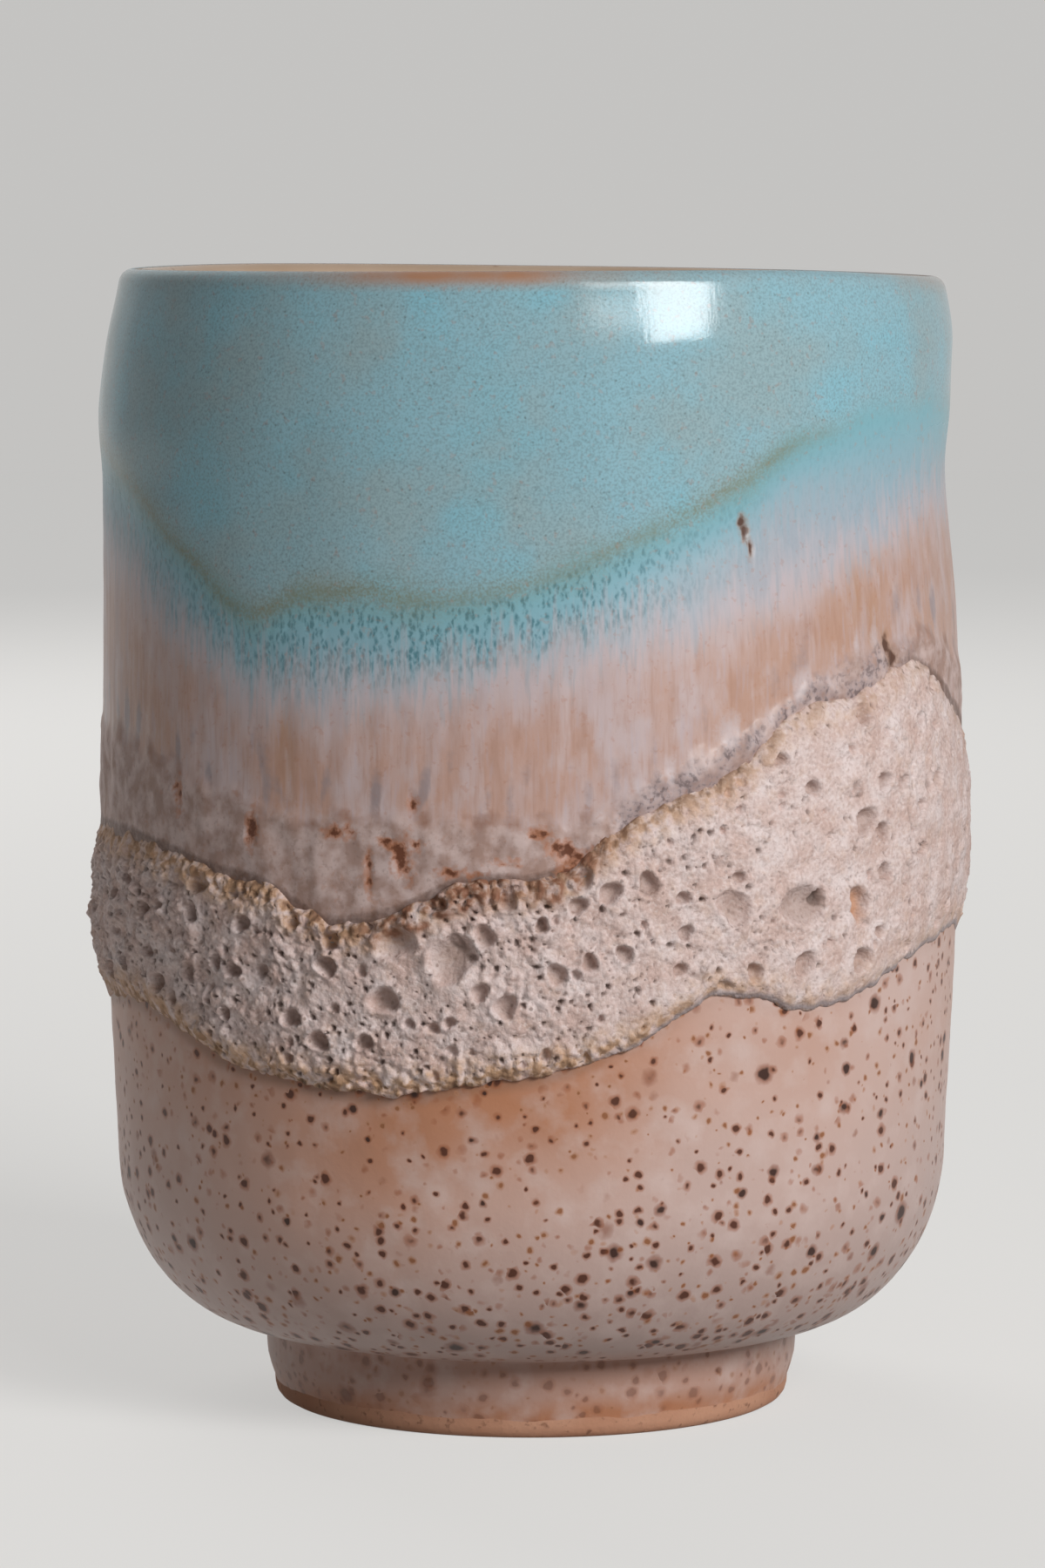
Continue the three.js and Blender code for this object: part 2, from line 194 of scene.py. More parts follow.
# Each name is the row at which that stretch of the sheet ends, from the middle of the underside, up the
# outside and over the lip, to the middle of the floor.
under, heel, wall, lip, inside, bend, floor = accumulate([4, 12, 25, 11, 14, 8, 3])
thrown_body, turn, row = ring_sheet("thrown_body", strips=160, rows=floor)
shoulder = lip_shoulder(turn)
lip_radius, lip_height = over_lip(turn, LIP_BOW * rise(row, wall, lip))
heel_bow = np.radians(90 * rise(row, under, heel))
bend_bow = np.radians(90 * rise(row, inside, bend))
height = np.select(
    [row < under, row < heel, row < wall, row < lip, row < inside, row < bend, row < floor],
    [
        UNDERSIDE,
        HEEL_TOP - (HEEL_TOP - UNDERSIDE) * np.cos(heel_bow),
        HEEL_TOP + (shoulder - HEEL_TOP) * rise(row, heel, wall),
        lip_height,
        shoulder + (BEND_TOP - shoulder) * rise(row, lip + 1, inside),
        BEND_TOP - (BEND_TOP - FLOOR_TOP) * np.sin(bend_bow),
        FLOOR_TOP,
    ],
)
radius = np.select(
    [row < under, row < wall, row < lip, row < inside, row < bend, row < floor],
    [
        by_ring(row, 0, UNDERSIDE_RINGS),
        wall_radius(turn, height),
        lip_radius,
        inner_radius(turn, height),
        FLOOR_RADIUS + (inner_radius(turn, BEND_TOP) - FLOOR_RADIUS) * np.cos(bend_bow),
        by_ring(row, bend, FLOOR_RINGS),
    ],
)
shape_rings(thrown_body, turn, radius, height)


def srgb(code):
    """Linear colour of an sRGB hex value."""
    parts = [int(code[i : i + 2], 16) / 255 for i in (1, 3, 5)]
    return [p / 12.92 if p <= 0.04045 else ((p + 0.055) / 1.055) ** 2.4 for p in parts] + [1.0]


def add_node(material, kind, inputs=(), out=None, **settings):
    """Adds one node with its settings, fills its inputs with values, hex colours or other nodes'
    outputs, and gives back one of its outputs: the named one, or the first in use."""
    tree = material.node_tree
    node = tree.nodes.new(kind)
    for name, value in settings.items():
        setattr(node, name, value)
    for name, value in dict(inputs).items():
        socket = next(s for s in node.inputs if s.enabled and name in (s.identifier, s.name))
        if isinstance(value, bpy.types.NodeSocket):
            tree.links.new(value, socket)
        else:
            socket.default_value = srgb(value) if isinstance(value, str) else value
    used = [s for s in node.outputs if s.enabled]
    return next((s for s in used if s.name == out), used[0] if used else None)


def new_finish(name, grains, marks=()):
    """Starts a material. Gives it back with its patterns by name: the place on the piece, grains
    given as name, size in millimetres and detail, and marks that the mesh keeps at its vertices."""
    material = bpy.data.materials.new(name)
    material.use_nodes = True
    material.node_tree.nodes.clear()
    place = add_node(material, "ShaderNodeTexCoord", out="Object")
    drawn = {"place": place}
    for grain, size, detail in grains:
        drawing = {"Vector": place, "Scale": 1 / (size * MM), "Detail": detail}
        drawn[grain] = add_node(material, "ShaderNodeTexNoise", drawing)
    for mark in marks:
        drawn[mark] = add_node(material, "ShaderNodeAttribute", out="Fac", attribute_name=mark)
    return material, drawn


def tint(material, tone, colour, pattern, low=0.0, high=1.0, most=1.0, least=0.0, share=None):
    """Lays a colour over a tone: least of it where the pattern is low and most where it is high, and
    of that only the share that shows there."""
    cover = {"Value": pattern, "From Min": low, "From Max": high, "To Min": least, "To Max": most}
    shown = add_node(material, "ShaderNodeMapRange", cover)
    if share is not None:
        part = {"Value": shown, "Value_001": share}
        shown = add_node(material, "ShaderNodeMath", part, operation="MULTIPLY")
    return add_node(material, "ShaderNodeMix", {"Factor": shown, "A": tone, "B": colour}, data_type="RGBA")


def fire(piece, material, look, *grains):
    """Closes a material with its shader and puts it on a piece. Each grain that can be felt is a
    pattern, how strongly it shows, and its depth in millimetres."""
    felt = {}
    for pattern, strength, depth in grains:
        grain = {"Height": pattern, "Strength": strength, "Distance": depth * MM}
        felt = {"Normal": add_node(material, "ShaderNodeBump", {**grain, **felt})}
    surface = add_node(material, "ShaderNodeBsdfPrincipled", {**look, **felt})
    add_node(material, "ShaderNodeOutputMaterial", {"Surface": surface})
    piece.data.materials.append(material)


# Buff stoneware, fired and bare: matt and finely gritty. At the lip the glaze pulls so thin that the
# iron in it shows as a rust-brown line, a little glossier.
bare_clay, drawn = new_finish("bare_buff_stoneware", [("grit", 0.9, 4), ("broken", 4, 3)])
level = add_node(bare_clay, "ShaderNodeSeparateXYZ", {"Vector": drawn["place"]}, out="Z")
lip_line = {"Value": level, "From Min": 102.8 * MM, "From Max": 103.6 * MM}
at_lip = add_node(bare_clay, "ShaderNodeMapRange", lip_line)
clay_tone = tint(bare_clay, "#8F6F58", "#BFA088", drawn["grit"])
lip_tone = tint(bare_clay, "#5E4634", "#A08A74", drawn["broken"])
tone = tint(bare_clay, clay_tone, lip_tone, at_lip)
dull = add_node(bare_clay, "ShaderNodeMapRange", {"Value": at_lip, "To Min": 0.85, "To Max": 0.4})
fire(thrown_body, bare_clay, {"Base Color": tone, "Roughness": dull}, (drawn["grit"], 0.5, 0.1))
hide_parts("clay_body")
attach(thrown_body, "root")


# The turned foot: a ring cut from the same clay on the wheel, slightly narrower at the bottom, with a
# rounded bare edge that the cup stands on. Its section is given as insets from the outside, and heights.
FOOT_OUTSIDE = 24.4
FOOT_WIDTH = 4.6
FOOT_TOP = 8.2
FOOT_SECTION = [
    (0.1, 7), (0.3, 3.6), (0.45, 1.2), (0.6, 0.65), (0.9, 0.25), (1.35, 0),
    (FOOT_WIDTH - 1.3, 0.0), (FOOT_WIDTH - 0.6, 0.2), (FOOT_WIDTH - 0.15, 0.7), (FOOT_WIDTH, 1.4),
    (FOOT_WIDTH, FOOT_TOP),
]
bpy.ops.object.select_all(action="DESELECT")
bpy.ops.mesh.primitive_circle_add(vertices=240, radius=FOOT_OUTSIDE * MM, location=(0, 0, FOOT_TOP * MM))
turned_foot = bpy.context.object
turned_foot.name = turned_foot.data.name = "turned_foot"
bpy.ops.object.transform_apply(location=True)
bpy.ops.object.mode_set(mode="EDIT")
bpy.ops.mesh.select_mode(type="EDGE")
bpy.ops.mesh.select_all(action="SELECT")
last_radius = FOOT_OUTSIDE
last_height = FOOT_TOP
for inset, height in FOOT_SECTION:
    radius = FOOT_OUTSIDE - inset
    grow = radius / last_radius
    bpy.ops.mesh.extrude_edges_move()
    bpy.ops.transform.resize(value=(grow, grow, 1), center_override=(0, 0, 0))
    bpy.ops.transform.translate(value=(0, 0, (height - last_height) * MM))
    last_radius = radius
    last_height = height
bpy.ops.mesh.select_all(action="DESELECT")
bpy.ops.mesh.select_non_manifold()
bpy.ops.mesh.bridge_edge_loops()
bpy.ops.mesh.select_all(action="SELECT")
bpy.ops.mesh.normals_make_consistent(inside=False)
bpy.ops.object.mode_set(mode="OBJECT")
bpy.ops.object.shade_smooth_by_angle(angle=math.radians(40))

# The same clay where the glaze was wiped off: flashed orange in the kiln, matt, and gritty to touch.
foot_clay, drawn = new_finish("wiped_orange_stoneware", [("grit", 0.8, 4), ("flash", 7, 2)])
tone = tint(foot_clay, "#A97356", "#C69A80", drawn["flash"])
tone = tint(foot_clay, tone, "#7E5641", drawn["grit"], 0.58, 0.72)
fire(turned_foot, foot_clay, {"Base Color": tone, "Roughness": 0.85}, (drawn["grit"], 0.6, 0.12))
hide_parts("foot_ring")
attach(turned_foot, "root")


# The speckled coat: a thin satin glaze, pink-tan with iron specks, poured over the lower wall, round
# the heel and down the outside of the foot, where it was wiped back to an uneven edge. It runs a
# little way up under the band, and its back lies just inside the clay.
SPECKLED = 0.5
SPECKLED_TUCK = 1.6
SPECKLED_BACK = [30, 24, 18, 13, 10, 8.4, 8.2]
SUNK = 0.2
BARE_FOOT = 1.3
WIPED_UNDER = 0.12
FOOT_DRAFT = 0.5
FOOT_SHOULDER = 7.0
FOOT_FILLET = [(24.92, 7.3), (25.02, 7.5), (25.2, 7.58), (25.5, 7.6)]
FOOT_BACK = 0.6
WALL_REACH = 39.5
BAND_BOTTOM = [
    (-90, 37.8), (-66, 39), (-55, 37.8), (-45, 35.2), (-36, 34.2), (-20, 33), (-8, 34.2),
    (3, 35.5), (14, 38.1), (24, 41.6), (37, 40), (46, 40.6), (60, 43.5), (77, 44.8),
    (100, 41.9), (125, 36.5), (150, 38.4), (175, 42.6), (200, 43.5), (225, 40), (250, 39),
]
POOLED = [
    (-90, 0.1), (-20, 0.1), (4, 0.2), (14, 0.8), (30, 1), (75, 1), (100, 0.5), (150, 0.2),
    (195, 0.8), (235, 0.1),
]
FLASHED = [
    (-90, 0.45), (-55, 0.75), (-18, 1.1), (0, 1), (18, 0.6), (36, 0.25), (60, 0.2), (100, 0.7),
    (140, 0.9), (180, 0.4), (225, 0.7),
]


def rough(turn, height, *layers):
    """Smooth chance over the wall: the sum of layers, each given as an amount either way, the
    millimetres that it changes over, and a seed."""
    spot = np.radians(turn)
    total = np.zeros(len(turn))
    for amount, size, seed in layers:
        x = WALL_REACH * np.sin(spot) / size + seed
        y = WALL_REACH * np.cos(spot) / size
        z = np.broadcast_to(height / size, turn.shape)
        total += amount * np.array([noise.noise(p) for p in zip(x.tolist(), y.tolist(), z.tolist())])
    return total


def close_rings(turn, row, radius):
    """Brings the last ring to the radius of the first, where the back of a coat meets its face."""
    first = np.flatnonzero(row == 0)
    last = np.flatnonzero(row == row.max())
    radius[last[np.argsort(turn[last])]] = radius[first[np.argsort(turn[first])]]


def keep_marks(sheet, **marks):
    """Keeps each mark's strength at the vertices, for the material to read, and gives back their names."""
    for name, strength in marks.items():
        layer = sheet.data.attributes.new(name, "FLOAT", "POINT")
        layer.data.foreach_set("value", strength.astype(np.float32))
    return list(marks)


foot, fillet, heel, wall, back = accumulate([14, 4, 32, 54, 10])
speckled_coat, turn, row = ring_sheet("speckled_coat", strips=420, rows=back, crowd=0.2)
band_low = smooth_curve(BAND_BOTTOM, turn)
wiped_edge = BARE_FOOT + rough(turn, 0, (0.35, 9, 3), (0.15, 2.5, 8))
fillet_radius, fillet_height = (by_ring(row, foot, side) for side in zip(*FOOT_FILLET))
heel_bow = np.radians(90 * rise(row, fillet, heel))
behind = [band_low + SPECKLED_TUCK, *SPECKLED_BACK, wiped_edge, wiped_edge]
height = np.select(
    [row < foot, row < fillet, row < heel, row < wall, row < back],
    [
        wiped_edge + (FOOT_SHOULDER - wiped_edge) * row / (foot - 1),
        fillet_height,
        HEEL_TOP - (HEEL_TOP - UNDERSIDE + SPECKLED) * np.cos(heel_bow),
        HEEL_TOP + (band_low + SPECKLED_TUCK - HEEL_TOP) * rise(row, heel, wall),
        by_ring(row, wall, behind),
    ],
)
coat = SPECKLED * ease(row, 0, 7) - WIPED_UNDER * (1 - ease(row, 0, 3))
clay = wall_radius(turn, height)
uneven = rough(turn, height, (0.1, 7, 21), (0.05, 2.6, 5)) * ease(height, UNDERSIDE, 13)
radius = np.where(row < wall, uneven, 0) + np.select(
    [row < foot, row < fillet, row < heel, row < wall, row < wall + len(SPECKLED_BACK), row < back],
    [
        FOOT_OUTSIDE - FOOT_DRAFT * (1 - height / UNDERSIDE) + coat,
        fillet_radius,
        UNDERSIDE_RADIUS + (HEEL_RADIUS - UNDERSIDE_RADIUS + SPECKLED) * np.sin(heel_bow),
        clay + SPECKLED,
        clay - SUNK,
        FOOT_OUTSIDE - FOOT_BACK,
    ],
)
close_rings(turn, row, radius)
below_band = band_low - height
flashed = smooth_curve(FLASHED, turn) + rough(turn, height, (0.4, 13, 22))
flashed = np.maximum(flashed * bell(np.maximum(below_band, 0), 12), 0)
flashed = flashed + 0.45 * ease(height, 8.5, 7.0) + 0.7 * ease(height - wiped_edge, 3.0, 0.4)
# Painted shade: a dark line on the coat just under the band's lower edge, fainter where glaze pooled.
burnt = ease(below_band, 1.5, 0.2) * (1 - 0.8 * smooth_curve(POOLED, turn))
marks = keep_marks(speckled_coat, below_band=below_band, flashed=flashed, burnt=burnt)
shape_rings(speckled_coat, turn, radius, height)


def jostled(material, place, size, detail, shift):
    """The place pushed about by chance, by up to shift millimetres, so that round cells come out uneven."""
    drawing = {"Vector": place, "Scale": 1 / (size * MM), "Detail": detail}
    push = add_node(material, "ShaderNodeTexNoise", drawing, out="Color")
    pushed = {"Vector": push, "Vector_001": (shift * MM,) * 3, "Vector_002": place}
    return add_node(material, "ShaderNodeVectorMath", pushed, operation="MULTIPLY_ADD")


# A thin satin glaze over a clay full of iron: soft pink-tan, warmer under the band, greyer at the heel,
# with dark specks that bleed a rusty ring, fainter on the foot and larger towards the heel. The finest
# specks are drawn a little large so they show.
grains = [("cloud", 9, 3), ("milky", 3.5, 4), ("peel", 0.6, 3)]
satin_glaze, drawn = new_finish("iron_speckled_satin_glaze", grains, marks)
tone = tint(satin_glaze, "#C5AAA1", "#B59E97", drawn["below_band"], 9, 26)
tone = tint(satin_glaze, tone, "#B17A5B", drawn["cloud"], 0.3, 0.6, 1.0, 0.65, drawn["flashed"])
tone = tint(satin_glaze, tone, "#CDB9B3", drawn["milky"], 0.48, 0.72, 0.48)
# Painted shade under the band's lower edge.
tone = tint(satin_glaze, tone, "#7C5D4B", drawn["burnt"], most=0.6)
level = add_node(satin_glaze, "ShaderNodeSeparateXYZ", {"Vector": drawn["place"]}, out="Z")
foot_fade = {"Value": level, "From Min": 7.2 * MM, "From Max": 8.8 * MM, "To Min": 0.42}
on_foot = add_node(satin_glaze, "ShaderNodeMapRange", foot_fade)
heel_growth = {"Value": level, "From Min": 12 * MM, "From Max": 30 * MM, "To Min": 0.82, "To Max": 1.04}
at_heel = add_node(satin_glaze, "ShaderNodeMapRange", heel_growth)
bent = jostled(satin_glaze, drawn["place"], 0.8, 1, 0.5)
for spacing, size, core, rust in [
    (1.3, 0.28, "#8C5A3B", "#AC7B5D"),
    (1.5, 0.47, "#4C2617", "#96593A"),
    (3.4, 0.7, "#321911", "#82482B"),
]:
    cells = {"Vector": bent, "Scale": 1 / (spacing * MM)}
    away = add_node(satin_glaze, "ShaderNodeTexVoronoi", cells, out="Distance")
    own_colour = {"Color": away.node.outputs["Color"]}
    luck = add_node(satin_glaze, "ShaderNodeSeparateColor", own_colour, out="Red")
    shrunk = add_node(satin_glaze, "ShaderNodeMapRange", {"Value": luck, "To Min": 0.85, "To Max": 2.6})
    for scale in [shrunk, at_heel]:
        scaled = {"Value": away, "Value_001": scale}
        away = add_node(satin_glaze, "ShaderNodeMath", scaled, operation="MULTIPLY")
    for reach, colour, most in [(1.55, rust, 0.6), (1.0, core, 0.95)]:
        edge = size / spacing * reach
        tone = tint(satin_glaze, tone, colour, away, edge, 0.68 * edge, most, share=on_foot)
sheen = {"Value": drawn["milky"], "To Min": 0.34, "To Max": 0.52}
satin = add_node(satin_glaze, "ShaderNodeMapRange", sheen)
fire(
    speckled_coat,
    satin_glaze,
    {"Base Color": tone, "Roughness": satin, "Specular IOR Level": 0.3},
    (drawn["peel"], 0.35, 0.08),
)
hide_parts("speckled_glaze")
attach(speckled_coat, "root")


# The crater band: a thick pale slip brushed round the belly, which boiled in the kiln. Its bubbles
# burst into craters with raised rims and pin-holes, and its two edges crumble. A crater is given by its
# turn, height, width and depth, and the list below holds those that face the front.
BAND_TOP = [
    (-90, 54.3), (-66, 54.2), (-55, 53.4), (-45, 52.1), (-36, 51.1), (-27, 48.3), (-18, 49.2),
    (-8, 52.2), (2, 52.6), (14, 57.9), (26, 61.6), (37, 66.8), (46, 67.6), (58, 70),
    (66, 68.4), (77, 64.8), (100, 59.9), (125, 58.1), (150, 60.9), (175, 61.5), (200, 57.9),
    (225, 55.5), (250, 56.1),
]
BAND_RISE = 1.7
BAND_STEP = 0.22
BAND_REACH = 40.5
THINNEST = 0.28
RIM_RISE = 0.11
GRAIN_RISE = 0.36
SCORCHED_RISE = 0.2
CREVICE_DEPTH = 0.3
EDGE_SLOPE = [
    (-90, 3.2), (-66, 2.4), (-50, 1.4), (-30, 0.9), (0, 0.9), (20, 1.15), (45, 1.2), (60, 2),
    (80, 3.2), (105, 2.4), (140, 0.9), (200, 0.8), (235, 1.6),
]
CRATERS = [
    (-9.9, 45.5, 4.3, 0.85), (-17, 46.8, 3.4, 0.65), (35.7, 49.4, 4.3, 0.9), (25.7, 49.6, 3.4, 0.65),
    (-5.8, 47.5, 2.1, 0.7), (1.2, 48.5, 1.4, 0.9), (-6.4, 42.6, 1.7, 0.7), (-7.5, 45.6, 1.1, 1.1),
    (-18.6, 41.7, 2.6, 0.9), (-26.3, 44.5, 2, 0.9), (-25.8, 46.8, 1.9, 0.8), (-3, 50.7, 1.9, 0.7),
    (-3.3, 41.4, 2.2, 0.7), (-10.2, 39.9, 1.2, 0.7), (-15.4, 39.7, 1.1, 0.7), (-10, 37.4, 1.2, 0.6),
    (3.1, 44.2, 2, 0.7), (7.1, 45.2, 1.6, 0.8), (6.3, 52.5, 1.9, 0.8), (9.6, 51.3, 2.1, 0.8),
    (-21.3, 37.9, 1.7, 0.8), (-27.5, 37.8, 2, 0.8), (11.5, 45.9, 1.7, 0.8), (14.4, 52, 2.1, 0.9),
    (38.2, 49.9, 1.6, 1.25), (36.3, 44.2, 2.4, 0.8), (18.6, 44.4, 1.3, 0.8), (37.3, 59.7, 1.6, 0.9),
    (50, 55.3, 1.9, 1), (45.4, 49.2, 2.8, 0.8), (44.5, 59.4, 1.2, 0.8), (54.1, 59.4, 1.5, 0.9),
    (58.6, 57.1, 1.3, 0.9), (59.3, 53.3, 1.3, 0.9), (58.9, 64.9, 1.2, 0.8), (56.7, 44.4, 1.3, 0.8),
    (-31.2, 48.3, 1.6, 0.8), (-48.8, 42.8, 1.8, 0.9), (-36, 43.6, 1.5, 0.8), (-31.2, 39.7, 1.9, 0.8),
    (-40.7, 50.4, 1.4, 0.8), (-58.9, 47.8, 1.6, 0.9), (-48.1, 48.1, 1.8, 0.9), (-42, 39.5, 1.3, 0.8),
    (21, 56.5, 0.6, 0.6), (21.3, 50.5, 0.6, 0.6), (17.2, 46.6, 0.7, 0.6), (13.1, 42.7, 0.7, 0.6),
    (9.4, 43.1, 0.6, 0.6), (7.2, 41.4, 0.6, 0.6), (45.6, 48.3, 1.7, 0.75), (-38.9, 47.7, 1.8, 0.9),
    (-58, 44.1, 1.5, 0.8), (-66, 42.6, 1.7, 0.8), (-69, 48.6, 1.5, 0.8), (-53, 40.2, 1.5, 0.8),
]
# Bubbles strewn between them by chance: how many are tried, their least width and the spread above it,
# how rare the wide ones are, and how evenly they lie over the calmer slip.
BUBBLES = [(230, 0.8, 2.4, 3, 1.0), (2600, 0.28, 0.42, 2, 0.0)]
BUBBLE_REACH = 40.0
# A crater narrower than STEEP_WIDTH has steep sides, one wider than DEEP_WIDTH is deeper, and one that
# is narrower than PIN_WIDTH or deeper than PIN_DEPTH ends in a pin-hole, darkened with painted shade. One
# has a rusty floor.
STEEP_WIDTH = 3.0
DEEP_WIDTH = 1.2
PIN_WIDTH = 0.75
PIN_DEPTH = 1.2
RUSTY_FLOOR = (45.4, 48.9, 1.0, 2.0)
OCHRE_SHOWS = [
    (-90, 0.8), (-50, 1), (-10, 1), (8, 0.95), (18, 0.8), (30, 0.6), (45, 0.35), (75, 0.35),
    (110, 0.9), (150, 0.6), (190, 1), (230, 0.7),
]
RELIEF = [
    (-90, 1.6), (-60, 1.7), (-40, 1.4), (-20, 1.15), (5, 1.05), (25, 0.9), (50, 0.75), (75, 0.7),
    (110, 1), (150, 1.2), (190, 0.8), (230, 1.4),
]
SCORCHED = [
    (-90, 0.1), (-40, 0.15), (-22, 0.3), (-15, 0.9), (-8, 1), (-3, 0.5), (0, 0.35), (4, 1), (7, 0.5),
    (11, 0.2), (20, 0.1), (60, 0.1), (100, 0.3), (130, 0.7), (170, 0.2), (200, 0.8), (230, 0.3),
]


def from_mark(turn, height, reach, spot, level, wide, tall):
    """How far each place is from a mark's middle, in the mark's own width and rise."""
    return np.hypot(across(turn, spot, reach) / wide, (height - level) / tall)


face, back = accumulate([104, 4])
crater_slip, turn, row = ring_sheet("crater_slip", strips=900, rows=back, crowd=0.3)
band_low = smooth_curve(BAND_BOTTOM, turn) + rough(turn, 0, (0.6, 2.2, 11), (0.2, 0.9, 12))
band_high = smooth_curve(BAND_TOP, turn) + rough(turn, 0, (0.8, 2.4, 13), (0.22, 1.0, 14))
height = band_low + (band_high - band_low) * np.clip(row / (face - 1), 0, 1)
from_edge = np.minimum(height - band_low, band_high - height)
chance = np.random.default_rng(7)
pits = list(CRATERS)
for tries, smallest, spread, power, evenly in BUBBLES:
    spots = chance.uniform(-180, 180, tries)
    low = smooth_curve(BAND_BOTTOM, spots)
    levels = low + (smooth_curve(BAND_TOP, spots) - low) * chance.random(tries)
    sizes = smallest + spread * chance.random(tries) ** power
    boiled = np.maximum(np.minimum(smooth_curve(RELIEF, spots), 1), evenly)
    kept = chance.random(tries) < 1.35 * boiled - 0.35
    for spot, level, size, strength in np.stack((spots, levels, sizes, boiled))[:, kept].T:
        other = np.array(pits)
        apart = np.hypot(np.radians(spot - other[:, 0]) * BUBBLE_REACH, level - other[:, 1])
        if np.all(apart > 0.5 * (other[:, 2] + size)):
            pits.append((spot, level, size, (0.26 + 0.36 * min(size, 2)) * strength))
hollow, pin_hole, rim = np.zeros((3, len(turn)))
for number, (spot, level, size, deep) in enumerate(pits):
    sideways = across(turn, spot, BAND_REACH)
    near = np.flatnonzero((np.abs(sideways) < size) & (np.abs(height - level) < size))
    sideways = sideways[near]
    upward = height[near] - level
    bearing = np.arctan2(upward, sideways)
    outline = 1 + 0.13 * np.sin(2 * bearing + number) + 0.09 * np.sin(3 * bearing + 2 * number)
    away = np.hypot(sideways, upward) / (size / 2 * outline)
    bowl = np.clip(1 - away ** (3 if size < STEEP_WIDTH else 2.2), 0, 1)
    hollow[near] = np.maximum(hollow[near], deep * bowl * (1.25 if size > DEEP_WIDTH else 1.0))
    # Pin-holes get painted shade, darkest at their middle.
    if size < PIN_WIDTH or deep > PIN_DEPTH:
        pin_hole[near] = np.maximum(pin_hole[near], np.clip(1.3 - away, 0, 1) * min(1, 2.4 * deep))
    rim[near] = np.maximum(rim[near], RIM_RISE * min(size, 2.2) ** 0.7 * bell(away - 1.12, 0.24))
slope = smooth_curve(EDGE_SLOPE, turn)
edge_step = SPECKLED + BAND_STEP / slope
thickness = edge_step + (BAND_RISE - edge_step) * (1 - np.exp(-from_edge / slope))
deepest = thickness - THINNEST - 0.6 * ease(from_edge, 2.4, 1.6)
hollow = np.minimum(hollow * ease(from_edge, 0.1, 1.3 * slope), np.maximum(deepest, 0))
lumps = rough(turn, height, (0.28, 4.5, 31), (0.24, 1.9, 32))
pumice = ease(rough(turn, height, (1, 9, 39)), -0.45, 0.35)
knobs = np.abs(rough(turn, height, (1, 1.15, 33))) + np.abs(rough(turn, height, (0.7, 0.7, 34))) - 0.35
grain = GRAIN_RISE * knobs * (0.4 + 0.8 * pumice)
cracks = ease(np.abs(rough(turn, height, (1, 3.2, 36))), 0.1, 0.0)
crevice = CREVICE_DEPTH * cracks * ease(rough(turn, height, (1, 4, 37)), 0.15, 0.5)
frayed = bell(from_edge, 2.3)
ochre = smooth_curve(OCHRE_SHOWS, turn)
crumbs = 0.55 * knobs + rough(turn, height, (0.18, 1.6, 35), (0.4, 0.55, 38))
crumble = crumbs * frayed * (0.45 + 0.55 * ochre) * np.minimum(0.9 / slope, 1) ** 2
scorched = smooth_curve(SCORCHED, turn) * bell(np.maximum(band_high - height - 1.2, 0), 1.3)
scorched = scorched * ease(rough(turn, height, (1, 1.3, 40)), -0.8, 0.2)
pooled = smooth_curve(POOLED, turn) * bell(height - band_low, 0.6)
solid = np.exp(-hollow * 3)
relief = smooth_curve(RELIEF, turn) * ease(from_edge, -0.5, 2.5)
thickness += (lumps + grain) * relief * (0.3 + 0.7 * solid) + rim * solid
thickness += crumble * (1 + 0.5 * scorched) + SCORCHED_RISE * scorched - hollow - crevice
# Crevices and the gaps between knobs are darkened too, as painted shade.
pin_hole = np.maximum(pin_hole, crevice * 2)
pin_hole = np.maximum(pin_hole, ease(-knobs, 0.14, 0.32) * np.maximum(0.6 * pumice, frayed))
radius = wall_radius(turn, height) + np.maximum(thickness, THINNEST)
behind = by_ring(row, face, [band_high, (band_low + band_high) / 2, band_low, band_low])
height = np.where(row < face, height, behind)
radius = np.where(row < face, radius, wall_radius(turn, height) - SUNK)
close_rings(turn, row, radius)
marks = keep_marks(
    crater_slip,
    hollow=hollow,
    pin_hole=pin_hole,
    from_edge=from_edge,
    ochre=ochre,
    rusty=np.clip(1.2 - from_mark(turn, height, BUBBLE_REACH, *RUSTY_FLOOR), 0, 1),
    scorched=scorched,
    pooled=pooled,
)
shape_rings(crater_slip, turn, radius, height)

# A boiled slip, half melted: chalky pink-white and pumice-like, with painted shade that darkens its
# craters, pin-holes and crevices, ochre and scorched brown where its edges crumble into the glazes, and
# glassy grey where glaze pooled under it. The grit is drawn at 0.35 mm to show.
grains = [("mottle", 2.4, 4), ("grit", 0.35, 2), ("crumbs", 1.2, 3)]
pale_slip, drawn = new_finish("boiled_crater_slip", grains, marks)
cells = {"Vector": drawn["place"], "Scale": 1 / (0.9 * MM)}
drawn["pricks"] = add_node(pale_slip, "ShaderNodeTexVoronoi", cells, out="Distance")
pricking = {"Value": drawn["ochre"], "From Min": 0.2, "To Min": 0.1, "To Max": 0.6}
pricked = add_node(pale_slip, "ShaderNodeMapRange", pricking)
singeing = {"Value": drawn["crumbs"], "From Min": 0.4, "From Max": 0.58, "To Min": 0.35, "To Max": 0.95}
singed = add_node(pale_slip, "ShaderNodeMapRange", singeing)
edges = []
for far, near in [(3.4, 0.9), (1.5, 0.1)]:
    ochre_edge = {"Value": drawn["from_edge"], "From Min": far, "From Max": near, "To Max": drawn["ochre"]}
    edges.append(add_node(pale_slip, "ShaderNodeMapRange", ochre_edge))
tone = tint(pale_slip, "#C3A89F", "#D7C7C4", drawn["mottle"], 0.35, 0.65)
